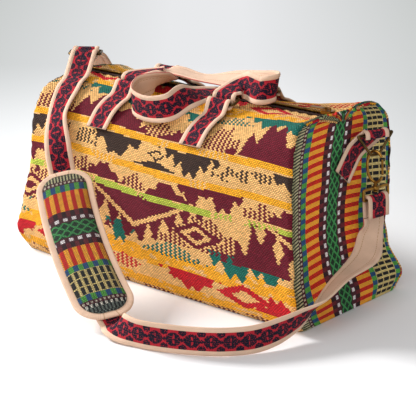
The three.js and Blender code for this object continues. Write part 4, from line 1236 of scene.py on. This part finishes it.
def end_tab(name, end, ring):
    """Sewn loop on an end of the bag, folded over the top wire of its ring."""
    bar = ring.translation
    w, inner = direction(ring, (0, 1, 0)), -direction(ring, (1, 0, 0))
    y0, z0 = END_TAB_FOOT
    slant = Vector((0, bar.y - y0, bar.z - z0)).normalized()
    across = Vector((0, slant.z, -slant.y)) * end * HALF
    route = []
    for share in END_TAB_STOPS:
        y, z = lerp(y0, bar.y, share), lerp(z0, bar.z, share)
        low, middle, high = (end_face(end, y + k * across.y, z + k * across.z) for k in (-1, 0, 1))
        middle.x += end * TAB_LIE
        route.append((middle, (high - low).normalized()))
    route += fold(bar, w, inner, w.cross(inner))
    tab = strap_mesh(f"end_tab_{name}_band", strap_line(route, SHORT_SPACING), doubled=True)
    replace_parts(tab, f"end_tab_{name}")


def strap_end(name, eye):
    """End of the shoulder strap, folded over the bar of the eye and sewn."""
    w = -direction(eye, (1, 0, 0))
    inner, rise = direction(eye, (0, 1, 0)), direction(eye, (0, 0, 1))
    bar = eye @ Vector((0, 0, EYE_BAR))

    def below(length):
        return bar + inner * FOLD_RADIUS - rise * length

    route = [(below(SEWN_END), w)] + fold(bar, w, inner, rise, SEWN_END)
    sewn = strap_mesh(f"strap_end_{name}_band", strap_line(route, SHORT_SPACING), f"swivel_{name}")
    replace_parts(sewn, f"strap_end_{name}")
    ends[name] = [(below(SEWN_END + gap), w) for gap in STRAP_STARTS]


def clip(name, end):
    """Everything between an end of the bag and the shoulder strap."""
    ring = turned(end, -RING_TURN, Vector((end * CLIP_OUT, CLIP_DEPTH, CLIP_HEIGHT)))
    hook = turned(end, HOOK_TURN, ring @ Vector((0, 0, APEX)))
    eye = hook @ Matrix.Rotation(math.radians(EYE_TURN - HOOK_TURN), 4, "Z")
    end_ring(name, ring)
    snap_hook(name, hook)
    swivel(name, eye)
    end_tab(name, end, ring)
    strap_end(name, eye)


clip("right", 1)
clip("left", -1)

# Shoulder pad: a tan backing with a domed striped insert, on the strap
PAD_TOP, PAD_FOOT = Vector((-139, -158, 157)), Vector((75, -278, 21))
PAD_BREADTH = Vector((0.76, 0.65, 0))
PAD_BEND = 11
PAD_WIDTH, PAD_CORNER, PAD_BASE, PAD_BORDER = 83, 34, 4, 9
PAD_CROWN, PAD_INSERT_LIFT = 8, 0.4
PAD_INSERT_ROWS, PAD_INSERT_COLUMNS, PAD_INSERT_THICKNESS = 150, 50, 1.2
PAD_CROWN_POWERS = (4, 6)  # across and along: how flat the crown is in its middle
PAD_LUMP, PAD_LUMP_SIZE = 0.8, 26
# Half of the rolled border, from its outer edge inwards: inset and height
PAD_ROLL = [(0.0, 0.0), (0.0, 0.9), (0.6, 1.7), (1.6, 2.0), (6.5, 2.0), (7.6, 1.6), (9.2, 1.0)]
PAD_ROLL_WIDENING = 1.2
PAD_LENGTH = (PAD_TOP - PAD_FOOT).length
pad_up = (PAD_TOP - PAD_FOOT).normalized()
pad_across = (PAD_BREADTH - pad_up * PAD_BREADTH.dot(pad_up)).normalized()
pad_out = pad_across.cross(pad_up)
pad_middle = (PAD_TOP + PAD_FOOT) / 2


def pad_point(x, y, z):
    """Place across, along and out of the pad, which bends slightly to one side."""
    swing = PAD_BEND * (1 - (2 * y / PAD_LENGTH) ** 2)
    return pad_middle + pad_across * (x - swing) + pad_up * y + pad_out * z


def pad_edge(y, inset):
    """Half width of the pad at a place along it, less an inset all round."""
    past = max(abs(y) - (PAD_LENGTH / 2 - PAD_CORNER), 0)
    return PAD_WIDTH / 2 - PAD_CORNER + math.sqrt(max((PAD_CORNER - inset) ** 2 - past ** 2, 0))


def pad_backing():
    """Tan backing with a full rounded border."""
    outline = rounded(PAD_WIDTH, PAD_LENGTH, PAD_CORNER, steps=14)
    profile = [(inset, -h) for inset, h in reversed(PAD_ROLL)] + PAD_ROLL[1:]
    points, uvs = [], []
    for a, b in outline:
        end_share = smooth(abs(b), PAD_LENGTH / 2 - PAD_CORNER, PAD_LENGTH / 2)
        for inset, h in profile:
            k = inset * PAD_ROLL_WIDENING
            x = a - math.copysign(min(k, abs(a)), a) * abs(a) / (PAD_WIDTH / 2)
            y = b - math.copysign(k, b) * end_share
            points.append(pad_point(x, y, h))
            uvs.append((a * MM, b * MM))
    rows, count = len(outline), len(profile)
    faces = grid_faces(rows, count)
    faces += [((rows - 1) * count + j, (rows - 1) * count + j + 1, j + 1, j) for j in range(count - 1)]
    faces.append(tuple(i * count for i in range(rows)))
    faces.append(tuple(i * count + count - 1 for i in range(rows))[::-1])
    piece = make("pad_backing_cloth", points, faces, [TAN_WEBBING], uvs)
    finish_as(piece, "tan_webbing", "pad_backing")


def pad_insert():
    """Striped insert, crowned over its filling."""
    rows, columns = PAD_INSERT_ROWS, PAD_INSERT_COLUMNS
    reach = PAD_LENGTH / 2 - PAD_BORDER
    level = PAD_BASE / 2 + SEAM_GAP + PAD_INSERT_LIFT
    across_power, along_power = PAD_CROWN_POWERS
    points, uvs = [], []
    for i in range(rows + 1):
        y = -reach * math.cos(math.pi * i / rows)
        edge = pad_edge(y, PAD_BORDER)
        for j in range(columns + 1):
            a = 2 * j / columns - 1
            swell = (1 - abs(a) ** across_power) * (1 - abs(y / reach) ** along_power)
            p = pad_point(a * edge, y, 0)
            lump = PAD_LUMP * noise.noise(p / PAD_LUMP_SIZE) * swell
            points.append(p + pad_out * (level + PAD_CROWN * swell + lump))
            uvs.append((a * edge * MM, y * MM))
    piece = make("pad_insert_cloth", points, grid_faces(rows + 1, columns + 1), [PAD_STRIPES], uvs)
    thicken(piece, PAD_INSERT_THICKNESS)
    finish_as(piece, "striped_cloth", "pad_insert")


KEEPER_BEVEL = 0.5
pad_backing()
pad_insert()
for name in ("top", "foot"):
    bevel(f"pad_keeper_{name}", KEEPER_BEVEL, TAN_WEBBING)

# Strap slider with three bars
SLIDER_HEADING = math.radians(37)
SLOT = 9
BAR_PITCH = SLOT + WIRE
BAR_STEPS = 8
slider_ahead = Vector((-math.sin(SLIDER_HEADING), math.cos(SLIDER_HEADING), 0))
slider_across = Vector((math.cos(SLIDER_HEADING), math.sin(SLIDER_HEADING), 0))
slider_middle = Vector((8 - LENGTH / 2, -2, HEIGHT + 25))


def strap_slider():
    """Frame of wire and the bar across its middle."""
    outline = rounded(RING_WIDTH + WIRE, 2 * BAR_PITCH, RING_CORNER)
    path = [slider_middle + slider_across * a + slider_ahead * b for a, b in outline]
    wire = tube("strap_slider_frame", path, WIRE / 2, DARK_BRONZE, "bag", "dark_bronze")
    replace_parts(wire, "strap_slider")
    half_bar = slider_across * RING_WIDTH / 2
    path = [slider_middle + half_bar * (2 * i / BAR_STEPS - 1) for i in range(BAR_STEPS + 1)]
    tube("strap_slider_bar", path, WIRE / 2, DARK_BRONZE, "bag", "dark_bronze", closed=False)


strap_slider()

# Shoulder strap: the long part from the right hook along the floor, behind the pad and over the
# corner to the slider, and the short part from there down the left end
REACH = LENGTH / 2
REST = HALF + 2 * SEAM_GAP
UP = Vector((0, 0, 1))
FRONT = -DEPTH / 2
STRAP_BEHIND = -(PAD_BASE / 2 + EDGE_THICKNESS / 2 + 2 * SEAM_GAP)


def stop(place, breadth=(0, 0, 1)):
    return Vector(place), Vector(breadth).normalized()


def on_pad(share):
    """Stop of the strap behind the pad, for a share from -1 at its foot to 1."""
    return pad_point(0, share * PAD_LENGTH / 2, STRAP_BEHIND), pad_across


def on_front(x, out, lift):
    """Stop of the strap that lies on the front cloth, lifted off it."""
    point, normal = roof("front", x, out)
    w = slider_across - normal * slider_across.dot(normal)
    return point + normal * (EDGE_THICKNESS / 2 + lift), w.normalized()


long_route = [(p, -w) for p, w in ends["right"]] + [
    stop((REACH + 19, 42, 96), (0.45, 0.85, -0.2)), stop((REACH + 32, 12, 78), (0.78, 0.5, -0.05)),
    stop((REACH + 39, -62, 62), (0.85, 0.12, 0.4)), stop((REACH + 42, -110, 43), (0.75, 0.05, 0.7)),
    stop((REACH + 38, FRONT - 17, 32), (0.35, 0, 0.94)), stop((REACH + 31, FRONT - 57, 25), (0.08, 0, 1)),
    stop((REACH + 18, FRONT - 89, REST)), stop((REACH - 5, FRONT - 121, REST)),
    stop((REACH - 35, FRONT - 143, REST)), stop((REACH - 72, FRONT - 161, REST)),
    stop((REACH - 108, FRONT - 172, REST)), stop((REACH - 136, FRONT - 173, 21), (0.15, 0.3, 0.94)),
    stop((REACH - 156, FRONT - 166, 19), (0.4, 0.6, 0.68)),
    *(on_pad(share) for share in (-1.06, -0.92, -0.7, -0.5, 0, 0.7, 1.03)),
    stop((88 - REACH, FRONT - 18, HEIGHT - 85), (0.74, 0.6, 0.1)),
    on_front(64 - REACH, -FRONT - 13, 7), on_front(49 - REACH, -FRONT - 47, 3),
    on_front(33 - REACH, -FRONT - 79, 3),
    *fold(slider_middle - slider_ahead * BAR_PITCH, slider_across, UP, slider_ahead)]
short_route = [
    *fold(slider_middle + slider_ahead * BAR_PITCH, slider_across, UP, -slider_ahead)[::-1],
    (Vector((-REACH - 20, 27, HEIGHT + 19)), slider_across),
    stop((-REACH - 34, 62, HEIGHT), (0.9, 0.45, 0.2)), stop((-REACH - 42, 94, HEIGHT - 40), (0.95, 0.3, 0)),
    stop((-REACH - 50, 108, 160), (1, 0.1, 0)), stop((-REACH - 56, 106, 100), (1, 0, 0)),
    stop((-REACH - 59, 86, 58), (1, 0, 0)), stop((-REACH - 59, 60, 54), (1, 0, 0)),
    stop((-REACH - 54, 45, 80), (1, 0, 0)), *ends["left"][::-1]]
# Shares of each strap, from its hook, at which it is cut into lengths by the swivel, the hook and the ring in
# turn
LONG_CHAIN, SHORT_CHAIN = (0.015, 0.03, 0.1), (0.03, 0.06, 0.22)


def shoulder_strap(name, route, clip_name, from_start, chain):
    """A strap in lengths: the one furthest from its hook goes with the bag, and those near its hook are loose
    pieces with their transforms baked in.
    """
    line = strap_line(route)
    bodies = [f"swivel_{clip_name}", f"hook_{clip_name}", f"end_ring_{clip_name}", "bag"]
    places = [0.0, *chain, 1.0] if from_start else [1.0, *(1 - share for share in chain), 0.0]
    for n, (near, far) in enumerate(zip(places, places[1:])):
        part = (near, far) if from_start else (far, near)
        held = bodies[n] == "bag"
        piece = strap_mesh(f"{name}_band_{n + 1}", line, "bag" if held else None, part)
        if held:
            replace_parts(piece, name)
        else:
            begin, end = (line[round(share * (len(line) - 1))][0] * MM for share in (near, far))
            bodies[n + 1]
            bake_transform(piece)


shoulder_strap("shoulder_strap_long", long_route, "right", True, LONG_CHAIN)
shoulder_strap("shoulder_strap_short", short_route, "left", False, SHORT_CHAIN)

# Floor, light and camera, in metres
VIEW_AZIMUTH, VIEW_ELEVATION = math.radians(40.67), math.radians(17.42)
VIEW_DISTANCE = 2.3
VIEW_TARGET = Vector((0.00343, 0.00219, 0.09316))
LENS, SENSOR = 133.9, 36
VIEW_LIMIT = 60
FLOOR_HALF = 9
WORLD_LIGHT = 0.54
LIGHT_AIM = Vector((0, 0, 0.1))
# Where the painted shade of the floor and its painted glow begin, and over what distance each comes in
PAINTED_SHADE_BEHIND, PAINTED_SHADE_ASIDE = (-0.1, 0.5), (0.15, 0.45)
PAINTED_GLOW_BEHIND, PAINTED_GLOW_ASIDE = (0.35, 1.1), (0.1, 0.5)


def comes_in(distance, begin, over):
    """Share of a painted shade or glow that is there at a distance."""
    return ((distance - begin) / over).share()


def floor():
    """Pale floor with painted shade that greys it towards its far corners, and far off a painted glow, seen
    by the camera, that makes it a bright backdrop.
    """
    corners = [(x * FLOOR_HALF, y * FLOOR_HALF, 0) for x, y in ((-1, -1), (1, -1), (1, 1), (-1, 1))]
    mesh = bpy.data.meshes.new("floor")
    mesh.from_pydata(corners, [], [(0, 1, 2, 3)])
    piece = bpy.data.objects.new("floor", mesh)
    bpy.context.scene.collection.objects.link(piece)
    paint = Paint("pale floor", "ebebec")
    tree = paint.tree
    x, y = split(tree, paint.place())
    beside = (x * math.cos(VIEW_AZIMUTH) + y * math.sin(VIEW_AZIMUTH)).size()
    behind = y * math.cos(VIEW_AZIMUTH) - x * math.sin(VIEW_AZIMUTH)
    # Painted shade: the floor greys to the sides and behind
    paint.lay(comes_in(beside, *PAINTED_SHADE_ASIDE) * comes_in(behind, *PAINTED_SHADE_BEHIND), "bcbfc0")
    paint.darken(paint.noise(3, 2) * 0.02 + 0.98)
    mesh.materials.append(paint.done(paint.noise(200, 2), depth=0.02, rough=0.7))
    # Painted glow: far off, the floor glows for camera and glossy rays, greyer to the sides
    rays = paint.node("ShaderNodeLightPath")
    seen = Field(tree, rays.outputs["Is Camera Ray"]).either(Field(tree, rays.outputs["Is Glossy Ray"]))
    painted_glow = paint.node("ShaderNodeEmission")
    bright = paint.mix(comes_in(beside, *PAINTED_GLOW_ASIDE), colour("e9eaec"), colour("cbcecd"))
    join(tree, bright, painted_glow.inputs["Color"])
    blend = paint.node("ShaderNodeMixShader")
    join(tree, comes_in(behind, *PAINTED_GLOW_BEHIND) * seen, blend.inputs[0])
    join(tree, paint.shader.outputs[0], blend.inputs[1])
    join(tree, painted_glow.outputs[0], blend.inputs[2])
    join(tree, blend.outputs[0], tree.nodes["Material Output"].inputs["Surface"])


def area_light(name, place, size, power):
    light = bpy.data.lights.new(name, "AREA")
    light.size = size
    light.energy = power
    lamp = bpy.data.objects.new(name, light)
    lamp.location = place
    lamp.rotation_euler = (LIGHT_AIM - Vector(place)).to_track_quat("-Z", "Y").to_euler()
    bpy.context.scene.collection.objects.link(lamp)


def camera():
    level = math.cos(VIEW_ELEVATION)
    way = Vector((math.sin(VIEW_AZIMUTH) * level, -math.cos(VIEW_AZIMUTH) * level, math.sin(VIEW_ELEVATION)))
    lens = bpy.data.cameras.new("camera")
    lens.lens = LENS
    lens.sensor_width = SENSOR
    lens.clip_end = VIEW_LIMIT
    view = bpy.data.objects.new("camera", lens)
    view.location = VIEW_TARGET + way * VIEW_DISTANCE
    view.rotation_euler = (-way).to_track_quat("-Z", "Y").to_euler()
    bpy.context.scene.collection.objects.link(view)
    bpy.context.scene.camera = view


def studio():
    world = bpy.data.worlds.new("studio")
    bpy.context.scene.world = world
    world.use_nodes = True
    light = world.node_tree.nodes["Background"]
    light.inputs["Color"].default_value = (1, 1, 1, 1)
    light.inputs["Strength"].default_value = WORLD_LIGHT


floor()
area_light("key", place=(-2.0, -0.7, 1.5), size=0.8, power=92)
area_light("fill", place=(1.0, -2.4, 1.8), size=2.4, power=34)
camera()
studio()
bpy.context.scene.view_settings.view_transform = "Standard"
